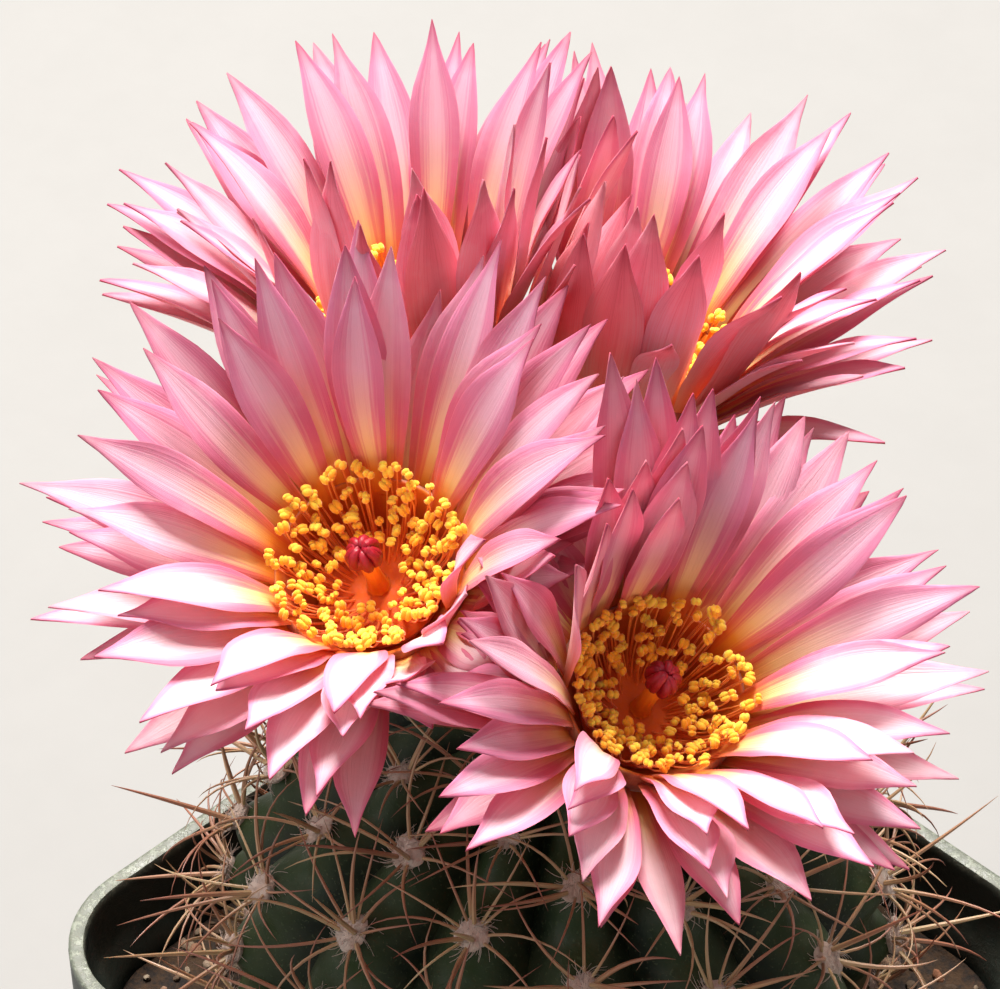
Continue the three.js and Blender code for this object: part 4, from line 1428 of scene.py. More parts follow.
@dataclass(frozen=True)
class SoilFinish:
    """Dark brown potting soil with grit of several stones."""

    dark: Colour = srgb(0.10, 0.07, 0.05)
    dry: Colour = srgb(0.27, 0.20, 0.14)
    grit: Ramp = ramp_of(
        (0.0, 0.26, 0.20, 0.15), (0.4, 0.48, 0.40, 0.32), (0.7, 0.62, 0.56, 0.48),
        (1.0, 0.52, 0.34, 0.24),
    )

    def build(self, effects: Effects) -> bpy.types.Material:
        """Build the material.

        Args:
            effects: the shared groups.

        Returns:
            The material.
        """
        finish = Finish("soil", Specular_Ior_Level=0.3)
        graph = finish.graph
        kind = graph.mark("place")[2]
        tone = graph.mark("tint")[0]
        crumbs = graph.group(effects.mottle, scale=520.0, low=0.36, high=0.66)
        soil = graph.mix(crumbs, self.dark, self.dry)
        stone = graph.ramp(graph.band(tone, -1.0, 1.0), self.grit)
        stone = graph.over(stone, self.dry, crumbs, 0.35)
        colour = graph.mix(graph.band(kind, 0.4, 0.6), soil, stone)
        normal = graph.group(effects.grain, scale=1400.0, strength=1.0, depth=0.0006)
        return finish.dress(colour, graph.band(crumbs, 0.0, 1.0, 0.8, 0.97), normal)


@dataclass(frozen=True)
class PotFinish:
    """Green-black moulded plastic, grey and chalky along its rim, dusty where it faces up."""

    plastic: Colour = srgb(0.11, 0.14, 0.12)
    worn: Colour = srgb(0.19, 0.22, 0.19)
    chalk: Colour = srgb(0.50, 0.52, 0.46)
    dust: Colour = srgb(0.42, 0.38, 0.32)
    rim_low: float = 0.0785
    rim_high: float = 0.0798

    def build(self, effects: Effects) -> bpy.types.Material:
        """Build the material.

        Args:
            effects: the shared groups.

        Returns:
            The material.
        """
        finish = Finish("pot_plastic", Specular_Ior_Level=0.5)
        graph = finish.graph
        patches = graph.group(effects.mottle, scale=90.0, low=0.38, high=0.62)
        specks = graph.group(effects.mottle, scale=900.0, low=0.45, high=0.6)
        top = graph.band(graph.split(graph.here())[2], self.rim_low, self.rim_high)
        chalky = graph.times(top, graph.band(specks, 0.0, 1.0, 0.45, 0.95))
        colour = graph.mix(graph.times(patches, 0.6), self.plastic, self.worn)
        colour = graph.mix(graph.group(effects.dust, scale=260.0, amount=0.35), colour, self.dust)
        colour = graph.mix(chalky, colour, self.chalk)
        normal = graph.group(effects.grain, scale=1900.0, strength=0.35, depth=0.00012, height=specks)
        return finish.dress(colour, graph.band(patches, 0.0, 1.0, 0.36, 0.58), normal)


@dataclass(frozen=True)
class FloorFinish:
    """Plain pale paper."""

    colour: Colour = srgb(0.55, 0.545, 0.535)
    shade: Colour = srgb(0.54, 0.535, 0.525)

    def build(self, effects: Effects) -> bpy.types.Material:
        """Build the material.

        Args:
            effects: the shared groups.

        Returns:
            The material.
        """
        finish = Finish("floor_paper")
        patches = finish.graph.group(effects.mottle, scale=40.0, low=0.2, high=0.8)
        return finish.dress(finish.graph.mix(patches, self.colour, self.shade), 0.9)


# Parts of a bloom


@dataclass(frozen=True)
class BodyForm:
    """The ribbed globe of the stem."""

    radius: float = 38.2
    rise: float = 30.0
    middle: float = 6.0
    ribs: int = 14
    phase: float = 4.5
    depth: float = 5.0
    chin: float = 1.3
    pitch: float = 17.5
    start: float = 4.8
    drift: float = 1.4
    soil_drop: float = 12.0
    chin_shift: float = 0.06
    swell_from: float = 1.0
    swell_to: float = 22.0
    crown: tuple[float, float, float] = (55.0, 88.0, 0.6)
    swell_rise: float = 0.8

    @property
    def soil_latitude(self) -> float:
        """Latitude where the globe enters the soil, in degrees."""
        return math.degrees(math.asin((-self.soil_drop - self.middle) / self.rise))

    def areole_shift(self, rib: Array) -> Array:
        """Find the first areole of each rib.

        Args:
            rib: numbers of the ribs.

        Returns:
            Their latitudes, in degrees.
        """
        turn = np.mod(rib + self.ribs / 2, self.ribs) - self.ribs / 2
        odd = np.abs(np.mod(turn, 2)) == 1
        return self.start + self.drift * turn + np.where(odd, self.pitch / 2, 0.0)

    def point(self, azimuth: Array, latitude: Array) -> tuple[Array, Array]:
        """Return points on the skin.

        Args:
            azimuth: degrees from the front towards the right.
            latitude: degrees above the widest ring.

        Returns:
            The points, and how near each is to the crest of its rib, from 0 to 1.
        """
        turn = (azimuth - self.phase) / (360 / self.ribs)
        rib = np.round(turn)
        crest = np.abs(np.cos(math.pi * (turn - rib)))
        step = (latitude - self.areole_shift(rib)) / self.pitch
        chin = self.chin * np.cos(2 * math.pi * (step - np.round(step) + self.chin_shift)) * crest * crest
        low, high, share = self.crown
        full = smooth(latitude, self.soil_latitude + self.swell_from, self.soil_latitude + self.swell_to)
        swell = full * (1 - share * smooth(latitude, low, high)) * (chin - self.depth * (1 - crest))
        angle, up = np.radians(azimuth), np.radians(latitude)
        out = (self.radius + swell) * np.cos(up)
        rise = (self.rise + self.swell_rise * swell) * np.sin(up)
        return np.stack([out * np.sin(angle), -out * np.cos(angle), self.middle + rise], -1), crest


FORM = BodyForm()


@dataclass
class Tube:
    """The receptacle of a bloom: a scaly, woolly tube from the body to the petals."""

    bloom: Bloom
    root_radius: float = 4.4
    head_radius: float = 8.3
    top: float = 19.0
    sunk: float = 2.1
    rows: int = 26
    columns: int = 44
    ridge: float = 0.035
    scales: int = 46
    first_seed: float = 400.0
    seed_step: float = 80.0
    scale_outline: tuple[float, ...] = (0.55, 0.95, 1.0, 0.8, 0.45, 0.06)
    scale_sunk: float = 0.25
    fibres_each: int = 10
    wool_spread: float = 0.9
    wool_length: float = 1.7

    def line(self, count: int) -> tuple[Array, Array, Array]:
        """Return the centre line.

        Args:
            count: how many stops it has.

        Returns:
            Points, directions along it and radii.
        """
        x, y = self.bloom.site.root
        share = math.sqrt(1 - (x * x + y * y) / FORM.radius**2)
        normal = unit(vec(x / FORM.radius**2, y / FORM.radius**2, share / FORM.rise))
        start = vec(x, y, FORM.middle + FORM.rise * share) - normal * self.sunk
        end = self.bloom.point(0.0, 0.0, self.top)
        reach = float(np.linalg.norm(end - start)) / 3
        p = [start, start + normal * reach, end - self.bloom.w * reach, end]
        t = np.linspace(0, 1, count)[:, None]
        points = (1 - t) ** 3 * p[0] + 3 * (1 - t) ** 2 * t * p[1] + 3 * (1 - t) * t**2 * p[2] + t**3 * p[3]
        along = (1 - t) ** 2 * (p[1] - p[0]) + 2 * (1 - t) * t * (p[2] - p[1]) + t**2 * (p[3] - p[2])
        radius = lerp(self.root_radius, self.head_radius * self.bloom.size, smooth(t[:, 0], 0.25, 1))
        return points, unit(along), radius

    def build(self) -> bpy.types.Object:
        """Build the tube with its scales and wool.

        Returns:
            The object.
        """
        skin = Skin()
        points, along, radius = self.line(self.rows)
        side = unit(np.cross(self.bloom.v, along))
        other = np.cross(along, side)
        turn = turns(self.columns)
        share = np.linspace(0, 1, self.rows)[:, None]
        ridges = 1 + self.ridge * np.sin(5 * turn + 22 * share) * np.sin(math.pi * share)
        ring = swung(side[:, None], other[:, None], turn[:, None]) * (radius[:, None] * ridges)[..., None]
        skin.add(points[:, None] + ring, triples(turn / math.tau, share, 0.0))
        self.add_scales(skin, points, along, side, radius)
        return skin.build(f"{self.bloom.site.name}_tube")

    def add_scales(self, skin: Skin, points: Array, along: Array, side: Array, radius: Array) -> None:
        """Add the scales in a spiral, with wool in their axils.

        Args:
            skin: what they are added to.
            points: centre line of the tube.
            along: its directions.
            side: a direction across it at each point.
            radius: its radii.
        """
        last = len(points) - 1
        k = np.arange(self.scales)
        seeds = self.first_seed + self.bloom.index * self.seed_step + k
        share = 0.16 + 0.8 * (k + 0.5) / self.scales
        near = np.clip((share * last).astype(int), 0, last)
        along, side = along[near], side[near]
        outward = swung(side, np.cross(along, side), (k * GOLDEN_ANGLE)[:, None])
        root = points[near] + outward * (radius[near] - self.scale_sunk)[:, None]
        length = (2.2 + 2.6 * share + 0.4 * draws(seeds, 1))[:, None]
        rise = np.linspace(0, 1, len(self.scale_outline))[None, :, None]
        bow = (0.35 + 0.6 * smooth(share, 0.7, 1.0))[:, None, None]
        lift = outward[:, None] * (bow * length[:, None] * rise * (1.15 - 0.55 * rise))
        paths = root[:, None] + along[:, None] * (length[:, None] * rise) + lift
        half = np.array(self.scale_outline) * (0.85 + 0.5 * share)[:, None]
        tint = triples(draws(seeds, 2), share, draws(seeds, 3))
        add_scales_flat(skin, paths, half, outward, tint)
        for i in range(self.scales):
            across = np.cross(along[i], outward[i])
            frame = root[i], outward[i], across, along[i]
            tuft = WoolTuft(*frame, self.wool_spread, self.wool_length, seeds[i])
            tuft.add_fibres(skin, self.fibres_each, 2.0)


def add_scales_flat(skin: Skin, paths: Array, half: Array, outward: Array, tint: Array) -> None:
    """Add flat pointed scales.

    Args:
        skin: what they are added to.
        paths: their midlines, scales by stops by 3.
        half: half widths, scales by stops.
        outward: the direction that each one's back faces.
        tint: three numbers for each.
    """
    thickness = 0.22
    along = unit(np.gradient(paths, axis=1))
    across = unit(np.cross(along, outward[:, None]))
    back = thickness * np.cross(across, along)
    turn = turns(8)
    ring = swung(across[:, :, None], back[:, :, None], turn[:, None])
    share = np.linspace(0, 1, paths.shape[1])[:, None]
    skin.add(paths[:, :, None] + half[:, :, None, None] * ring, triples(np.cos(turn), share, 1.0), tint)


@dataclass(frozen=True)
class WoolTuft:
    """A patch of wool at a centre, with its outward direction and two directions across."""

    centre: Array
    normal: Array
    across: Array
    up: Array
    spread: float
    length: float
    seed: float

    def add_fibres(self, skin: Skin, count: int, kind: float, age: float = 0.0, thick: float = 0.075) -> None:
        """Add curled fibres.

        Args:
            skin: what they are added to.
            count: how many.
            kind: third number of the place mark.
            age: how brown they are, 0 to 1.
            thick: radius of a fibre at its foot.
        """
        k = np.arange(count)
        ids = self.seed * 1.37 + k * 0.7
        turn = (k * GOLDEN_ANGLE + 0.8 * draws(ids, 11))[:, None]
        off = np.sqrt((k + 0.5) / count)[:, None]
        out = swung(self.across, self.up, turn)
        foot = self.centre + out * off * self.spread + self.normal * (0.45 * self.spread * (1 - off**2))
        jitter = triples(draws(ids, 12), draws(ids, 13), draws(ids, 14))
        heading = unit(self.normal * (0.8 - 0.5 * off) + out * (0.2 + 0.9 * off) + 0.75 * jitter)
        curl = unit(np.cross(heading, jitter + self.normal))
        length = (self.length * (1 + 0.45 * draws(ids, 15)))[:, None, None]
        share = np.linspace(0, 1, 5)
        s = share[:, None]
        bow = curl[:, None] * 0.85 - 0.45 * self.normal
        paths = foot[:, None] + length * (heading[:, None] * s + bow * s * s)
        radii = np.tile(thick * (1 - 0.6 * share), (count, 1))
        tint = triples(draws(ids, 16), age, draws(ids, 17))
        add_tubes(skin, paths, radii, 3, kind, tint)


@dataclass
class Petals:
    """The petals of a bloom, grown together at their foot in one cup.

    The cup is a profile of stops, each a distance from the axis, a height and a place mark that is
    1 on its outside. A petal's tip narrows, and its blade has a groove, a trough and a wavy margin.
    """

    bloom: Bloom
    plan: list[Petal]
    rows: int = 17
    inner_points: int = 9
    half_thickness: float = 0.24
    edge_thickness: float = 0.05
    tip_thinning: float = 0.55
    trough: float = 0.13
    groove: float = 0.20
    groove_width: float = 0.14
    wave: float = 0.4
    wave_count: float = 8.0
    bend: float = 0.7
    twist: float = 9.0
    curl: float = 0.9
    sharpness: float = 0.22
    sunk: float = 1.2
    slimness: float = 0.84
    low_side: tuple[float, float] = (-0.06, 0.34)
    cup: tuple = (
        (0.4, 18.5, 1), (7.6, 18.5, 1), (8.8, 19.6, 1), (9.8, 21.5, 1), (10.5, 24.0, 1), (10.8, 26.2, 1),
        (10.3, 27.3, 0.5), (9.7, 26.6, 0), (9.1, 24.8, 0), (8.4, 22.8, 0), (7.4, 20.6, 0), (6.0, 20.0, 0),
        (0.4, 20.0, 0),
    )
    cup_columns: int = 48
    cup_tint: Triple = (0.3, 1.0, 0.5)

    def build(self) -> bpy.types.Object:
        """Build the cup and the petals.

        Returns:
            The object.
        """
        skin = Skin()
        self.add_cup(skin)
        for petal in self.plan:
            self.add_petal(skin, petal)
        return skin.build(f"{self.bloom.site.name}_petals", sharp_angle=80.0)

    def add_cup(self, skin: Skin) -> None:
        """Add the cup that the petals stand on.

        Args:
            skin: what it is added to.
        """
        profile = np.array(self.cup, float)
        fine = through(profile, np.linspace(0, len(profile) - 1, 3 * len(profile)))
        reach, height, outer = fine[:, 0:1], fine[:, 1:2], fine[:, 2:3]
        turn = turns(self.cup_columns)
        place = triples(np.sin(7 * turn), 0.004 * (height - profile[0, 1]), outer)
        skin.add(self.bloom.point(turn, reach, height), place, self.cup_tint)

    def add_petal(self, skin: Skin, petal: Petal) -> None:
        """Add one petal, bent and twisted a little.

        Args:
            skin: what it is added to.
            petal: the petal.
        """
        seed = petal.seed
        points, _, normals, side = RULES.line(self.bloom, petal)
        t = (1 - (1 - np.linspace(0, 1, self.rows)) ** 1.15)[:, None]
        places = t[:, 0] * (len(points) - 1)
        centre = through(points, places)
        stops = np.arange(len(points))
        normal = unit(np.stack([np.interp(places, stops, part) for part in normals.T], -1))
        along = np.cross(side, normal)
        along *= np.sign(np.sum(along * np.gradient(centre, axis=0), axis=-1, keepdims=True))
        sharper = 1 - self.sharpness * (1 + draw(seed, 21)) * smooth(t, 0.7, 0.97)
        half = 0.5 * self.slimness * petal.width * RULES.outline(t) * sharper
        twist = math.radians(self.twist) * draw(seed, 22) * t
        centre = centre + side * (self.bend * draw(seed, 23) * np.sin(math.pi * t))
        centre = centre + normal * (self.curl * draw(seed, 24) * t**4)
        centre[0] -= self.sunk * along[0]
        s, offset, outer = self.section(seed, t, half)
        across, face = swung(side, normal, twist), swung(normal, -side, twist)
        shape = centre[:, None] + across[:, None] * (half * s)[..., None] + face[:, None] * offset[..., None]
        # how far the petal lies on the bloom's low side: the petal finish uses it for pink rims, painted
        # light and painted shade
        low = smooth(-self.bloom.out(petal.angle)[2], *self.low_side)
        skin.add(shape, triples(s, t, outer), (draw(seed, 27), petal.rank / OUTERMOST.rank, low))

    def section(self, seed: float, t: Array, half: Array) -> tuple[Array, Array, Array]:
        """Return the cross sections of a petal's blade.

        Args:
            seed: the petal's number for its draws.
            t: how far along the petal each section is, sections by 1.
            half: its half width there, sections by 1.

        Returns:
            How far across each point of a section is, from -1 to 1, how far it stands out, and
            whether it is outside, 1, inside, 0, or on the margin.
        """
        inside = np.sin(np.linspace(-0.5, 0.5, self.inner_points) * math.pi)
        outside = inside[-2:0:-1]
        s = np.concatenate([inside, outside])
        sign = np.concatenate([-np.ones(len(inside)), np.ones(len(outside))])
        sign[[0, len(inside) - 1]] = 0.0
        lens = self.half_thickness * (1 - self.tip_thinning * t) * (1 - s**2) ** 0.6 + self.edge_thickness
        trough = self.trough * (1.3 + 0.6 * draw(seed, 25)) * half * s**2
        groove = self.groove * np.exp(-((s / self.groove_width) ** 2))
        groove = groove * np.sin(math.pi * np.clip(t * 1.1, 0, 1))
        phase = self.wave_count * t + 3 * draw(seed, 26) + 1.5 * s
        waves = self.wave * np.abs(s) ** 3 * np.sin(phase) * smooth(t, 0.15, 0.5) * np.clip(half / 2.5, 0, 1)
        return s, sign * lens - trough + groove + waves, 0.5 + 0.5 * sign


@dataclass
class Stamens:
    """The ring of stamens on the floor of the throat."""

    bloom: Bloom
    plan: list[Petal]
    count: int = 200
    floor_bottom: float = 20.3
    floor_top: float = 21.6
    floor_radius: float = 6.8
    inner_reach: float = 3.4
    outer_reach: float = 10.9
    inner_height: float = 24.6
    outer_height: float = 30.6
    room_kept: float = 0.6
    filament: float = 0.11
    taper: tuple[float, ...] = (1.5, 1.2, 1.0, 0.9, 0.85, 0.8)
    anther: Triple = (0.58, 0.50, 0.57)
    first_seed: float = 7000.0
    seed_step: float = 200.0

    def rooms(self, angle: Array, height: Array) -> Array:
        """Return how far from the axis the inner petals stand.

        Args:
            angle: angles round the axis.
            height: heights along it.

        Returns:
            The distance for each angle, in the bloom's own size.
        """
        room = np.full(len(angle), self.outer_reach + 1.0)
        for petal in self.plan:
            if petal.rank > 0.5:
                continue
            edge = RULES.edges(self.bloom, petal) - self.bloom.base
            rise = edge @ self.bloom.w
            away = np.linalg.norm(edge - rise[:, None] * self.bloom.w, axis=1) / self.bloom.size
            apart = np.abs(np.arctan2(np.sin(angle - petal.angle), np.cos(angle - petal.angle)))
            above = rise[None, :] - height[:, None] * self.bloom.size
            is_near = (apart[:, None] < 0.6) & (above <= 2.0) & (above >= -1.6)
            room = np.minimum(room, np.where(is_near, away[None, :], FAR).min(axis=1))
        return room

    def build(self) -> bpy.types.Object:
        """Build the floor, the filaments and the anthers.

        Returns:
            The object.
        """
        skin = Skin()
        self.add_floor(skin)
        k = np.arange(self.count)
        seeds = self.first_seed + self.bloom.index * self.seed_step + k
        share = (k + 0.5) / self.count
        angle = k * GOLDEN_ANGLE + 0.22 * draws(seeds, 31)
        reach = lerp(self.inner_reach, self.outer_reach, share**0.7) + 0.35 * draws(seeds, 32)
        height = lerp(self.inner_height, self.outer_height, smooth(share, 0.0, 0.9)) + 0.9 * draws(seeds, 33)
        reach = np.minimum(reach, self.rooms(angle, height) - self.room_kept)
        foot_reach = np.minimum(2.4 + 3.8 * share, reach)
        root = self.bloom.point(angle, foot_reach, self.floor_top - 0.4)
        bulge = self.bloom.point(angle, lerp(foot_reach, reach, 0.9) + 0.3, lerp(self.floor_top, height, 0.6))
        top = self.bloom.point(angle + 0.1 * draws(seeds, 34), reach, height)
        t = np.linspace(0, 1, len(self.taper))[:, None]
        paths = bent(root[:, None], bulge[:, None], top[:, None], t)
        tint = triples(draws(seeds, 35), share, draws(seeds, 36))
        add_tubes(skin, paths, np.tile(self.filament * np.array(self.taper), (self.count, 1)), 5, 0.0, tint)
        self.add_anthers(skin, paths, seeds, tint)
        return skin.build(f"{self.bloom.site.name}_stamen_ring")

    def add_floor(self, skin: Skin) -> None:
        """Add the floor that the stamens stand on.

        Args:
            skin: what it is added to.
        """
        radius, low, high = self.floor_radius, self.floor_bottom, self.floor_top
        profile = [(0.3, low), (radius - 0.3, low), (radius, low + 0.3), (radius, high - 0.4)]
        profile += [(radius - 0.5, high), (radius * 0.6, high + 0.12), (radius * 0.3, high), (0.3, high)]
        reach, height = np.array(profile).T
        skin.add(self.bloom.point(turns(36), reach[:, None], height[:, None]), (0.2, 0.1, 2.0))

    def add_anthers(self, skin: Skin, paths: Array, seeds: Array, tint: Array) -> None:
        """Add a two-lobed anther on the end of each filament.

        Args:
            skin: what they are added to.
            paths: the filaments' centre lines.
            seeds: number of each stamen for its draws.
            tint: three numbers for each.
        """
        along = unit(paths[:, -1] - paths[:, -2])
        turn = triples(draws(seeds, 37), draws(seeds, 38), draws(seeds, 39))
        across = unit(np.cross(along, turn))
        other = np.cross(along, across)
        size = (self.bloom.size * (1 + 0.16 * draws(seeds, 40)))[:, None]
        wide, deep, tall = self.anther
        lean = unit(along + 0.5 * turn)
        axes = np.stack([across * 0.66 * wide * size, other * deep * size, lean * tall * size], 1)
        for lobe in (-1, 1):
            centre = paths[:, -1] + (0.42 * wide * lobe * across + 0.3 * lean) * size
            add_balls(skin, centre, axes, 1.0, tint, rows=6, columns=7)


@dataclass
class Pistil:
    """The style and the lobed dark stigma on it.

    The style's profile has stops of a radius and a share of its height, a lobe's has a distance
    from the axis and a rise.
    """

    bloom: Bloom
    foot: float = 21.9
    top: float = 29.0
    radius: float = 1.0
    lobes: int = 9
    head: float = 2.05
    lobe_radius: float = 0.56
    style_profile: tuple = (
        (0.2, 0.0), (1.25, 0.0), (1.12, 0.06), (0.98, 0.25), (0.92, 0.55), (0.98, 0.85), (1.1, 1.0),
        (0.2, 1.0),
    )
    lobe_profile: tuple = (
        (0.25, 0.0), (0.70, 0.1), (0.95, 0.45), (0.94, 0.9), (0.70, 1.25), (0.36, 1.38), (0.12, 1.25),
    )
    lobe_taper: tuple[float, ...] = (0.8, 0.95, 1.05, 1.1, 1.1, 1.05, 1.0, 0.95, 0.85, 0.7, 0.4)
    first_seed: int = 8200
    seed_step: int = 20

    @staticmethod
    def smoothed(profile: tuple, count: int) -> tuple[Array, Array]:
        """Follow the smooth curve through a profile.

        Args:
            profile: its stops, of two numbers each.
            count: how many stops the curve has.

        Returns:
            The first and the second numbers of the curve's stops.
        """
        stops = np.array([(*stop, 0.0) for stop in profile])
        fine = through(stops, np.linspace(0, len(stops) - 1, count))
        return fine[:, 0], fine[:, 1]

    def build_style(self) -> bpy.types.Object:
        """Build the style: a column that widens at its foot and head.

        Returns:
            The object.
        """
        reach, share = self.smoothed(self.style_profile, 30)
        turn = turns(28)
        ribbed = self.radius * np.maximum(reach, 0.15)[:, None] * (1 + 0.05 * np.cos(self.lobes * turn))
        skin = Skin()
        height = lerp(self.foot, self.top, share[:, None])
        skin.add(self.bloom.point(turn, ribbed, height), triples(np.sin(turn), share[:, None], 0.0))
        return skin.build(f"{self.bloom.site.name}_style_column")

    def build_stigma(self) -> bpy.types.Object:
        """Build the stigma: a core and lobes that curl up and in over it.

        Returns:
            The object.
        """
        skin = Skin()
        size, bottom = self.bloom.size, self.top + 0.3
        centre = self.bloom.point(0.0, 0.0, bottom + 1.35)[None]
        axes = np.stack([self.bloom.u * 1.7, self.bloom.v * 1.7, self.bloom.w * 1.5])[None] * size
        add_balls(skin, centre, axes, 0.0, NO_MARK, rows=10, columns=16)
        out, up = self.smoothed(self.lobe_profile, len(self.lobe_taper))
        seeds = (self.first_seed + self.bloom.index * self.seed_step + np.arange(self.lobes))[:, None]
        angle = 2 * math.pi * (np.arange(self.lobes)[:, None] + 0.25 * draws(seeds, 1)) / self.lobes
        turn = angle + 0.3 * draws(seeds, 3) * np.linspace(0, 1, len(out))
        reach = out * (self.head - 0.5) * (1 + 0.08 * draws(seeds, 2))
        rise = bottom + 0.35 + up * (1.95 + 0.25 * draws(seeds, 4))
        thick = np.tile(self.lobe_radius * size * np.array(self.lobe_taper), (self.lobes, 1))
        add_tubes(skin, self.bloom.point(turn, reach, rise), thick, 8)
        return skin.build(f"{self.bloom.site.name}_stigma_head")


# The stem


@dataclass(frozen=True)
class Obstacles:
    """What a spine may not run into: the pot, the soil, the tubes and the blooms."""

    blooms: list[Bloom]
    tubes: list[tuple[Array, Array, Array]]
    rim_clearance: float = 1.4
    wall_half: float = 39.5
    wall_corner: float = 9.3
    underside: float = 16.0
    underside_slope: float = 0.26
    cup_radius: float = 9.0
    reach: float = 44.0
    clearance: float = 1.6
    tube_swell: float = 1.07

    def is_free(self, points: Array) -> bool:
        """Say whether all of several points are clear of everything."""
        return not (self.hits_pot(points) or self.hits_bloom(points))

    def hits_pot(self, points: Array) -> bool:
        """Check points against the pot's wall and the soil.

        Args:
            points: the points, n by 3.

        Returns:
            Whether any of them is in these.
        """
        low = points[points[:, 2] <= self.rim_clearance]
        if len(low) == 0:
            return False
        if low[:, 2].min() < self.rim_clearance - FORM.soil_drop:
            return True
        cos, sin = math.cos(PLANT_TURN), math.sin(PLANT_TURN)
        x = np.abs(cos * low[:, 0] - sin * low[:, 1]) - self.wall_half + self.wall_corner
        y = np.abs(sin * low[:, 0] + cos * low[:, 1]) - self.wall_half + self.wall_corner
        return bool(np.max(np.hypot(np.maximum(x, 0), np.maximum(y, 0))) > self.wall_corner)

    def hits_bloom(self, points: Array) -> bool:
        """Check points against the blooms and their tubes.

        Args:
            points: the points, n by 3.

        Returns:
            Whether any of them is in these.
        """
        for bloom, (stops, _, radii) in zip(self.blooms, self.tubes, strict=True):
            off = (points - bloom.base) / bloom.size
            rise = off @ bloom.w
            away = np.linalg.norm(off - rise[:, None] * bloom.w, axis=1)
            under = self.underside + self.underside_slope * np.maximum(0, away - self.cup_radius)
            if np.any((rise > under) & (away < self.reach)):
                return True
            gaps = np.linalg.norm(points[:, None] - stops[None], axis=2) - radii * self.tube_swell
            if gaps.min() < self.clearance:
                return True
        return False


@dataclass(frozen=True)
class SpineKind:
    """A kind of spine: lean from the areole's axis and its range, length, bow, root radius and sway."""

    lean: float
    lean_range: float
    length: float
    bow: float
    radius: float
    sway: float = 0.0


CENTRAL = SpineKind(22, 12, 16, 0.4, 0.33)
RADIAL = SpineKind(62, 9, 14, 0.9, 0.27)
EXTRA_CENTRAL = SpineKind(42, 14, 15, 0.8, 0.29, 1.4)
EXTRA_RADIAL = SpineKind(70, 11, 12.5, 1.3, 0.2, 1.6)


@dataclass(frozen=True)
class Areole:
    """A woolly cushion on a rib, with its axis, its directions across and its number."""

    centre: Array
    normal: Array
    up: Array
    side: Array
    seed: float
    age: float
    is_solid: bool


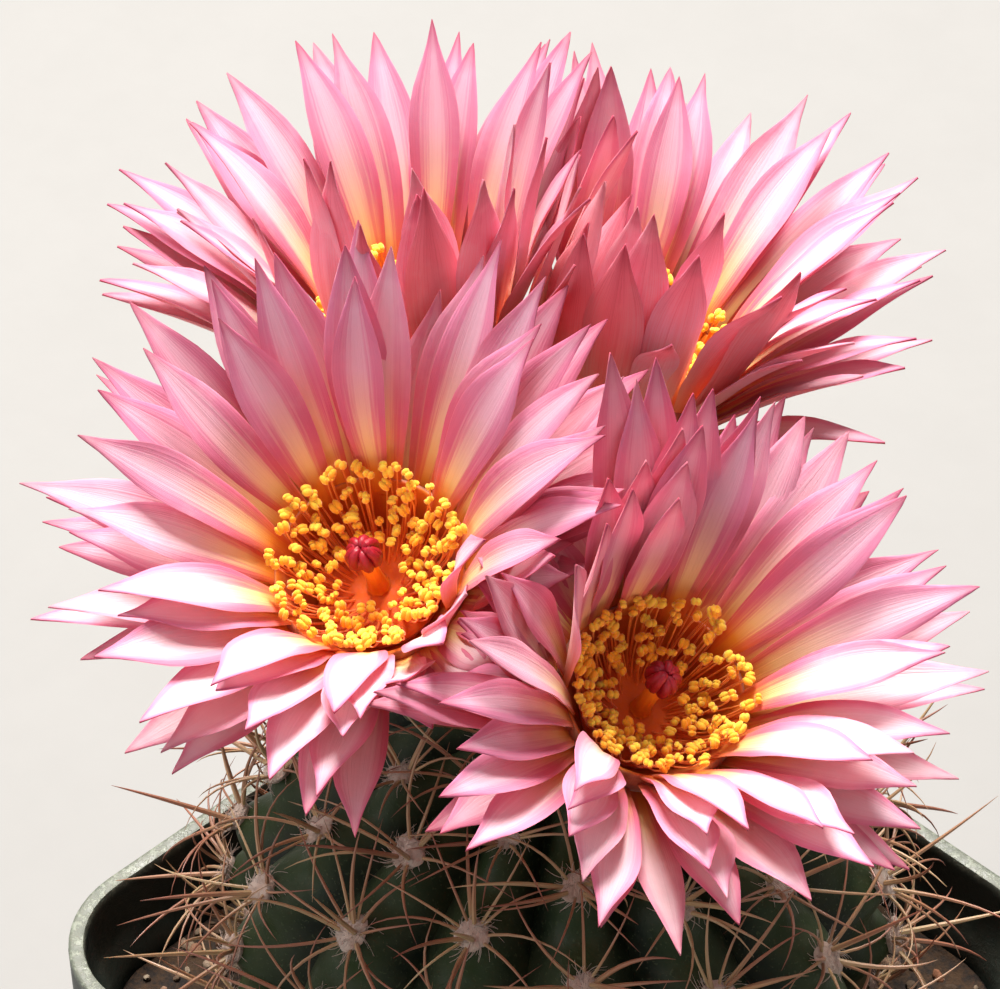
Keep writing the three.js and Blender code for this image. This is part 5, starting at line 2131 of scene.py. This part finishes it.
@dataclass
class Stem:
    """The ribbed stem with its wool and spines."""

    obstacles: Obstacles
    columns_per_rib: int = 18
    rows: int = 96
    bottom: float = -62.0
    top: float = 89.4
    lowest: float = -24.0
    solid_lowest: float = -6.0
    solid_highest: float = 60.0
    highest: float = 84.0
    tube_room: float = 10.5
    root_room: float = 9.5
    tuft_radius: float = 2.05
    fibres: int = 58
    fibre_length: float = 1.35
    fibre_radius: float = 0.06
    lumps: int = 4
    spine_taper: tuple[float, ...] = (1.0, 0.98, 0.92, 0.84, 0.74, 0.62, 0.48, 0.3, 0.06)
    first_seed: int = 3000
    rib_seeds: int = 40
    areole_seeds: int = 5
    extra_central_seeds: int = 60
    extra_radial_seeds: int = 80
    areoles: list[Areole] = field(default_factory=list)

    def __post_init__(self) -> None:
        """Find the areoles."""
        for rib in range(FORM.ribs):
            shift = float(FORM.areole_shift(np.array(rib)))
            step = math.ceil((self.lowest - shift) / FORM.pitch)
            while shift + step * FORM.pitch < self.highest:
                self.add_areole(rib, step, shift + step * FORM.pitch)
                step += 1

    def add_areole(self, rib: int, step: int, latitude: float) -> None:
        """Add an areole, unless a bloom stands there.

        Args:
            rib: number of its rib.
            step: its number on the rib.
            latitude: degrees above the widest ring.
        """
        azimuth = FORM.phase + rib * 360 / FORM.ribs
        places, _ = FORM.point(np.full(3, azimuth), latitude + np.array([0.0, 4.0, -4.0]))
        up = unit(places[1] - places[2])
        angle = math.radians(azimuth)
        side = vec(math.cos(angle), math.sin(angle), 0)
        normal = unit(np.cross(side, up))
        for stops, _, _ in self.obstacles.tubes:
            apart = np.linalg.norm(stops[[len(stops) // 5, 0]] - places[0], axis=1)
            if apart[0] < self.tube_room or apart[1] < self.root_room:
                return
        age = float(np.clip((30 - latitude) / 60, 0, 1))
        solid = self.solid_lowest <= latitude < self.solid_highest
        seed = self.first_seed + rib * self.rib_seeds + step * self.areole_seeds
        self.areoles.append(Areole(places[0], normal, up, side, seed, age, solid))

    def build_body(self) -> bpy.types.Object:
        """Build the ribbed globe.

        Returns:
            The object.
        """
        columns = FORM.ribs * self.columns_per_rib
        azimuth = FORM.phase + np.arange(columns) * 360 / columns
        latitude = np.linspace(self.bottom, self.top, self.rows)
        azimuth, latitude = np.broadcast_arrays(azimuth[None, :], latitude[:, None])
        points, crest = FORM.point(azimuth, latitude)
        skin = Skin()
        skin.add(points, triples(crest, (latitude - self.bottom) / (90 - self.bottom), 0.0))
        return skin.build("stem_body")

    def build_wool(self) -> bpy.types.Object:
        """Build the wool of every areole: a matted mound under loose fibres.

        Returns:
            The object.
        """
        skin = Skin()
        for areole in self.areoles:
            size = self.tuft_radius * (1 + 0.12 * draw(areole.seed, 41)) * (1.0 if areole.is_solid else 0.85)
            whole = np.stack([areole.side, areole.up * 1.08, areole.normal * 0.5]) * size
            turn = areole.seed + GOLDEN_ANGLE * np.arange(self.lumps)
            off = 0.5 * size * (1 + 0.4 * draws(turn, 43))[:, None]
            lumps = areole.centre + off * swung(areole.side, areole.up, turn[:, None])
            centres = np.concatenate([areole.centre[None], lumps + 0.18 * size * areole.normal])
            shares = np.concatenate([[0.84], 0.44 + 0.08 * draws(turn, 44)])
            tint = (draw(areole.seed, 42), areole.age, 0.0)
            add_balls(skin, centres, whole * shares[:, None, None], 0.0, tint, rows=7, columns=12)
            frame = areole.centre, areole.normal, areole.side, areole.up
            tuft = WoolTuft(*frame, size * 0.92, self.fibre_length, areole.seed)
            tuft.add_fibres(skin, self.fibres, 1.0, areole.age, self.fibre_radius)
        return skin.build("stem_wool")

    def build_spines(self) -> bpy.types.Object:
        """Build the spines of every areole.

        Returns:
            The object.
        """
        skin = Skin()
        paths: list[Array] = []
        radii: list[float] = []
        tint: list[Array] = []
        for areole in self.areoles:
            for k, kind, turn in self.spine_plan(areole):
                path = self.spine(areole, k, kind, turn)
                if path is not None:
                    paths.append(path)
                    radii.append(kind.radius * (1 + 0.15 * draw(areole.seed + k, 43)))
                    tint.append(vec(draw(areole.seed + k, 44), draw(areole.seed + k, 45), areole.age))
        thick = np.array(radii)[:, None] * np.array(self.spine_taper)
        add_tubes(skin, np.array(paths), thick, 6, 0.0, np.array(tint))
        LOG.info("%d areoles, %d spines", len(self.areoles), len(paths))
        return skin.build("stem_spines")

    def spine_plan(self, areole: Areole) -> list[tuple[int, SpineKind, float]]:
        """Plan the spines of an areole.

        Args:
            areole: the areole.

        Returns:
            The number, kind and turn of each.
        """
        seed = areole.seed
        shared = 0.9 * draw(seed, 2)
        plan = []
        if areole.is_solid:
            for k, kind in enumerate((CENTRAL, RADIAL, RADIAL)):
                plan.append((k, kind, math.pi * (k + 0.3 * draw(seed + k, 1)) + shared))
        centrals, radials = 2 + round(draw(seed, 46)), 8 + round(draw(seed, 47))
        for j in range(centrals):
            turn = 2 * math.pi * (j + 0.4 * draw(seed + j, 48)) / centrals + 1.1 + shared
            plan.append((self.extra_central_seeds + j, EXTRA_CENTRAL, turn))
        for j in range(radials):
            turn = 2 * math.pi * (j + 0.3 * draw(seed + j, 49)) / radials + shared
            plan.append((self.extra_radial_seeds + j, EXTRA_RADIAL, turn))
        return plan

    def spine(self, areole: Areole, k: int, kind: SpineKind, turn: float) -> Array | None:
        """Return a spine's centre line, bent clear of what stands near it.

        Args:
            areole: where it grows.
            k: its number there.
            kind: its kind.
            turn: its direction round the areole's axis.

        Returns:
            Nine points, or None where it has no room.
        """
        seed, normal = areole.seed + k, areole.normal
        lean = math.radians(kind.lean + kind.lean_range * draw(seed, 3))
        around = swung(areole.side, areole.up, turn)
        direction = swung(normal, around, lean)
        full = kind.length + 2.5 * draw(seed, 4)
        root = areole.centre + around * 0.6 - normal * 0.4
        sway = np.cross(normal, around) * kind.sway * draw(seed, 5)
        ways = (vec(0, 0, 1), unit(vec(normal[0], normal[1], 0)), normal)
        t = np.linspace(0, 1, len(self.spine_taper))[:, None]
        for share, blend, way in product((1.0, 0.85, 0.7, 0.55), (0.0, 0.2, 0.4, 0.6, 0.8), ways):
            heading = unit(lerp(direction, way, blend)) * full * share
            middle = root + heading * 0.5 + normal * kind.bow + sway
            tip = root + heading - normal * kind.bow
            path = bent(root, 2 * middle - (root + tip) / 2, tip, t)
            if self.obstacles.is_free(path[3:]):
                return path
        return None


# Pot and soil


@dataclass(frozen=True)
class PotForm:
    """Sizes of the square pot, and its rounded square rings."""

    height: float = POT_HEIGHT
    foot_half: float = 33.5
    foot_corner: float = 10.0
    neck: float = 71.0
    neck_half: float = 42.4
    neck_corner: float = 10.8
    rim_half: float = 45.0
    rim_corner: float = 13.4
    wall: float = 1.5
    floor: float = 2.0
    foot_rounding: float = 1.2
    rim_rounding: float = 0.5
    corner_steps: int = 12
    drain_radius: float = 3.2
    drain_place: float = 17.0

    def ring(self, half: float, corner: float, z: float) -> Array:
        """Make a square with rounded corners.

        Args:
            half: half its width.
            corner: its corner radius.
            z: its height.

        Returns:
            The points round it.
        """
        corner = max(corner, 0.2)
        middle = math.pi / 4 + np.arange(4) * math.pi / 2
        angle = middle[:, None] + (np.arange(self.corner_steps + 1) / self.corner_steps - 0.5) * math.pi / 2
        x = np.sign(np.cos(middle))[:, None] * (half - corner) + corner * np.cos(angle)
        y = np.sign(np.sin(middle))[:, None] * (half - corner) + corner * np.sin(angle)
        return np.stack([x, y, np.full_like(x, z)], -1).reshape(-1, 3)

    def wall_at(self, z: float) -> tuple[float, float]:
        """Find the outer wall at a height below the collar.

        Args:
            z: the height.

        Returns:
            Its half width and corner radius.
        """
        share = z / self.neck
        return lerp(self.foot_half, self.neck_half, share), lerp(self.foot_corner, self.neck_corner, share)

    def profile(self) -> list[tuple[float, float, float]]:
        """List the rings of the pot, from under the floor round to its top.

        Returns:
            Half width, corner radius and height of each.
        """
        rings = [(0.8, 0.8, 0.6), (24.0, 7.0, 0.6), (25.0, 7.4, 0.0)]
        for angle in np.linspace(0, math.pi / 2, 6):
            out, rise = self.foot_rounding * (1 - math.sin(angle)), self.foot_rounding * (1 - math.cos(angle))
            rings.append((self.foot_half - out, self.foot_corner - out, rise))
        rings += [(*self.wall_at(z), z) for z in np.linspace(3.0, self.neck, 14)]
        rim = [(1.2, 71.15), (0.55, 71.5), (0.15, 72.1), (0.0, 72.9), (0.0, 76.0), (0.0, 79.3)]
        for angle in np.linspace(0, math.pi / 2, 5)[1:]:
            out, drop = self.rim_rounding * (1 - math.cos(angle)), self.rim_rounding * (1 - math.sin(angle))
            rim.append((out, self.height - drop))
        rim += [(1.5, 80.0), (1.78, 79.92), (1.92, 79.6), (2.0, 78.0)]
        rim += [(2.2, 75.5), (2.4, 73.8), (3.0, 72.4), (4.1, 71.0)]
        rings += [(self.rim_half - out, self.rim_corner - out, z) for out, z in rim]
        inside = [(z, z, self.wall) for z in np.linspace(66.0, 4.0, 9)]
        inside += [(2.5, self.floor, 2.4), (self.floor, self.floor, 3.6)]
        for z, wall_z, inset in inside:
            half, corner = self.wall_at(wall_z)
            rings.append((half - inset, corner - inset, z))
        return [*rings, (0.8, 0.8, self.floor)]

    def build(self) -> bpy.types.Object:
        """Build the pot, with its collar, rounded rim, foot and drain holes.

        Returns:
            The object.
        """
        skin = Skin()
        skin.add(np.array([self.ring(*stop) for stop in self.profile()]))
        return self.drilled(skin.build("pot_body", in_pot_frame=True, sharp_angle=40.0))

    def drilled(self, made: bpy.types.Object) -> bpy.types.Object:
        """Cut the drain holes through the floor.

        Args:
            made: the pot.

        Returns:
            The pot with its holes.
        """
        drills = Skin()
        turn = turns(28)
        circle = np.stack([np.cos(turn), np.sin(turn)], -1) * self.drain_radius
        for corner in product((1, -1), (1, -1)):
            spots = circle + self.drain_place * np.array(corner)
            drills.add(np.array([np.column_stack([spots, np.full(len(turn), z)]) for z in (-3.0, 6.0)]))
        drill = drills.build("drill", in_pot_frame=True)
        cut = made.modifiers.new("drains", "BOOLEAN")
        cut.operation, cut.object, cut.solver = "DIFFERENCE", drill, "EXACT"
        bpy.context.view_layer.update()
        made.data = bpy.data.meshes.new_from_object(made.evaluated_get(bpy.context.evaluated_depsgraph_get()))
        made.modifiers.clear()
        bpy.data.objects.remove(drill)
        return made


POT = PotForm()


@dataclass(frozen=True)
class Soil:
    """The soil in the pot, with a hollow for the stem, and the grit on top of it."""

    gap: float = 0.3
    level: float = 68.0
    hollow_radius: float = 39.1
    hollow_rise: float = 30.7
    hollow_middle: float = 86.0
    mouth: float = 31.4
    relief: float = 0.55
    stones: int = 460

    def height(self, x: Array, y: Array) -> Array:
        """Return the height of the soil over its level at places."""
        waves = np.sin(0.31 * x + 1.7 * np.sin(0.23 * y)) + np.sin(0.47 * y + 1.3 * np.sin(0.39 * x + 1.0))
        return self.relief * (0.6 * waves + 0.35 * np.sin(1.3 * x + 2.1) * np.sin(1.1 * y + 0.4))

    def build(self) -> bpy.types.Object:
        """Build the soil with its grit.

        Returns:
            The object.
        """
        inset = POT.wall + self.gap
        skin = Skin()
        low, high = POT.wall_at(POT.floor + 1.5), POT.wall_at(self.level)
        rings = [POT.ring(0.8, 0.8, 2.3), POT.ring(low[0] - 4.2, low[1] - 4.0, 2.35)]
        for z in np.linspace(5.0, self.level - 0.6, 8):
            half, corner = POT.wall_at(z)
            rings.append(POT.ring(half - inset, corner - inset, z))
        for share in np.linspace(0.03, 1.0, 16):
            half = lerp(high[0] - inset, self.mouth, share)
            ring = POT.ring(half, lerp(high[1] - inset, self.mouth, share), self.level)
            ring[:, 2] += self.height(ring[:, 0], ring[:, 1]) * (1 - 0.5 * share)
            rings.append(ring)
        for depth in np.radians(np.linspace(37.5, 88.0, 9)):
            out = self.hollow_radius * math.cos(depth)
            rings.append(POT.ring(out, out, self.hollow_middle - self.hollow_rise * math.sin(depth)))
        skin.add(np.array(rings))
        self.add_stones(skin, high[0] - inset, high[1] - inset)
        return skin.build("soil_body", in_pot_frame=True, sharp_angle=60.0)

    def add_stones(self, skin: Skin, half: float, corner: float) -> None:
        """Scatter grit between the stem and the wall.

        Args:
            skin: what it is added to.
            half: half width of the soil.
            corner: its corner radius.
        """
        k = np.arange(6 * self.stones)
        spots = np.stack([draws(k, 51), draws(k, 52)], -1) * half
        over = np.maximum(np.abs(spots) - half + corner, 0)
        size = 0.45 + 1.1 * (0.5 + 0.5 * draws(k, 53)) ** 2.5
        inside = np.hypot(over[:, 0], over[:, 1]) < corner - size - 0.3
        clear = np.hypot(spots[:, 0], spots[:, 1]) > self.mouth + 1.6 + size
        kept = np.flatnonzero(inside & clear)[: self.stones]
        spots, size = spots[kept], size[kept]
        centres = np.column_stack([spots, self.level + self.height(spots[:, 0], spots[:, 1]) + 0.25 * size])
        turn = draws(kept, 54) * math.pi
        cos, sin, tip = np.cos(turn), np.sin(turn), 0.5 * draws(kept, 55)
        x = triples(cos, sin, tip) * (size * (1.1 + 0.3 * draws(kept, 56)))[:, None]
        y = triples(-sin, cos, 0.0) * (size * (0.85 + 0.2 * draws(kept, 57)))[:, None]
        z = triples(-tip, 0.0, 1.0) * (size * (0.65 + 0.2 * draws(kept, 58)))[:, None]
        tint = triples(draws(kept, 59), draws(kept, 60), 0.0)
        add_balls(skin, centres, np.stack([x, y, z], 1), 1.0, tint, rows=5, columns=6)


# Studio


@dataclass(frozen=True)
class Studio:
    """Pale floor, soft lights and the camera of the photo's view."""

    camera_place: Triple = (0.1836, -0.1931, 0.3830)
    camera_heading: Triple = (-0.5320, 0.5320, -0.6587)
    lens: float = 121.03
    floor_size: float = 16.0
    key_place: Triple = (-0.36, 0.28, 1.16)
    key_size: float = 0.55
    key_power: float = 44.0
    key_colour: Colour = (1.0, 0.965, 0.93)
    fill_place: Triple = (-0.35, -0.85, 0.65)
    fill_size: float = 1.1
    fill_power: float = 4.5
    fill_colour: Colour = (0.95, 0.97, 1.0)
    aim: Triple = (0.0, 0.0, 0.13)
    sky_colour: Colour = (0.96, 0.97, 1.0)
    sky: float = 0.35

    def build(self, effects: Effects) -> None:
        """Set up everything that isn't part of the object.

        Args:
            effects: the shared groups.
        """
        half = self.floor_size / 2
        corners = [(-half, -half, 0), (half, -half, 0), (half, half, 0), (-half, half, 0)]
        mesh = bpy.data.meshes.new("floor")
        mesh.from_pydata(corners, [], [(0, 1, 2, 3)])
        mesh.materials.append(FloorFinish().build(effects))
        floor = bpy.data.objects.new("floor", mesh)
        bpy.context.scene.collection.objects.link(floor)
        self.light("key", self.key_place, self.key_size, self.key_power, self.key_colour)
        self.light("fill", self.fill_place, self.fill_size, self.fill_power, self.fill_colour)
        world = bpy.data.worlds.new("studio")
        world.use_nodes = True
        background = world.node_tree.nodes["Background"]
        background.inputs[0].default_value = (*self.sky_colour, 1.0)
        background.inputs[1].default_value = self.sky
        bpy.context.scene.world = world
        bpy.context.scene.view_settings.view_transform = "Standard"
        camera = bpy.data.objects.new("camera", bpy.data.cameras.new("camera"))
        camera.data.lens = self.lens
        camera.data.clip_start = 0.01
        camera.location = self.camera_place
        camera.rotation_mode = "QUATERNION"
        camera.rotation_quaternion = Vector(self.camera_heading).to_track_quat("-Z", "Y")
        bpy.context.scene.collection.objects.link(camera)
        bpy.context.scene.camera = camera

    def light(self, name: str, place: Triple, size: float, power: float, colour: Colour) -> bpy.types.Object:
        """Make a soft square light, aimed at the object.

        Args:
            name: its name.
            place: where it stands.
            size: its width, in metres.
            power: its power, in watts.
            colour: its colour.

        Returns:
            The light.
        """
        data = bpy.data.lights.new(name, "AREA")
        data.size, data.energy, data.color = size, power, colour
        lamp = bpy.data.objects.new(name, data)
        lamp.location = place
        lamp.rotation_mode = "QUATERNION"
        lamp.rotation_quaternion = (Vector(self.aim) - Vector(place)).to_track_quat("-Z", "Y")
        bpy.context.scene.collection.objects.link(lamp)
        return lamp


class Slot(Enum):
    """Material slots of the record."""

    POT = "pot_plastic"
    SOIL = "soil"
    STEM = "stem_skin"
    RECEPTACLE = "receptacle"
    TEPAL = "tepal"
    STAMEN = "stamen"
    STYLE = "style"
    STIGMA = "stigma"


def mount(piece: bpy.types.Object, node: str, slot: Slot, material: bpy.types.Material) -> None:
    """Dress a piece and put it in the place of its node.

    Args:
        piece: the piece.
        node: the node that it stands for.
        slot: not used.
        material: its material.
    """
    piece.data.materials.clear()
    piece.data.materials.append(material)
    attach(piece, BODY)
    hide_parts(node)
    piece.data.calc_loop_triangles()
    LOG.info("%s: %d triangles", piece.name, len(piece.data.loop_triangles))


def build_object(effects: Effects) -> None:
    """Build and dress every piece of the object.

    Args:
        effects: the shared groups.
    """
    mount(POT.build(), "pot", Slot.POT, PotFinish().build(effects))
    mount(Soil().build(), "soil", Slot.SOIL, SoilFinish().build(effects))
    blooms = [Bloom(index) for index in range(len(SITES))]
    tubes = [Tube(bloom) for bloom in blooms]
    stem = Stem(Obstacles(blooms, [tube.line(11) for tube in tubes]))
    mount(stem.build_body(), "stem", Slot.STEM, StemFinish().build(effects))
    mount(stem.build_wool(), "stem", Slot.STEM, WoolFinish().build(effects))
    mount(stem.build_spines(), "stem", Slot.STEM, SpineFinish().build(effects))
    petal, stamen = PetalFinish().build(effects), StamenFinish().build(effects)
    style, stigma = STYLE_FINISH.build(effects), STIGMA_FINISH.build(effects)
    receptacle = ReceptacleFinish().build(effects)
    for bloom, tube in zip(blooms, tubes, strict=True):
        plan = petals_of(bloom)
        name = bloom.site.name
        LOG.info("%s: %d petals", name, len(plan))
        mount(tube.build(), f"{name}_receptacle", Slot.RECEPTACLE, receptacle)
        mount(Petals(bloom, plan).build(), f"{name}_tepals", Slot.TEPAL, petal)
        mount(Stamens(bloom, plan).build(), f"{name}_stamens", Slot.STAMEN, stamen)
        pistil = Pistil(bloom)
        mount(pistil.build_style(), f"{name}_style", Slot.STYLE, style)
        mount(pistil.build_stigma(), f"{name}_stigma", Slot.STIGMA, stigma)


def main() -> None:
    """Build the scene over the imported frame."""
    logging.basicConfig(level=logging.INFO, format="%(message)s")
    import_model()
    effects = Effects()
    build_object(effects)
    Studio().build(effects)
    bpy.context.view_layer.update()


if __name__ == "__main__":
    main()
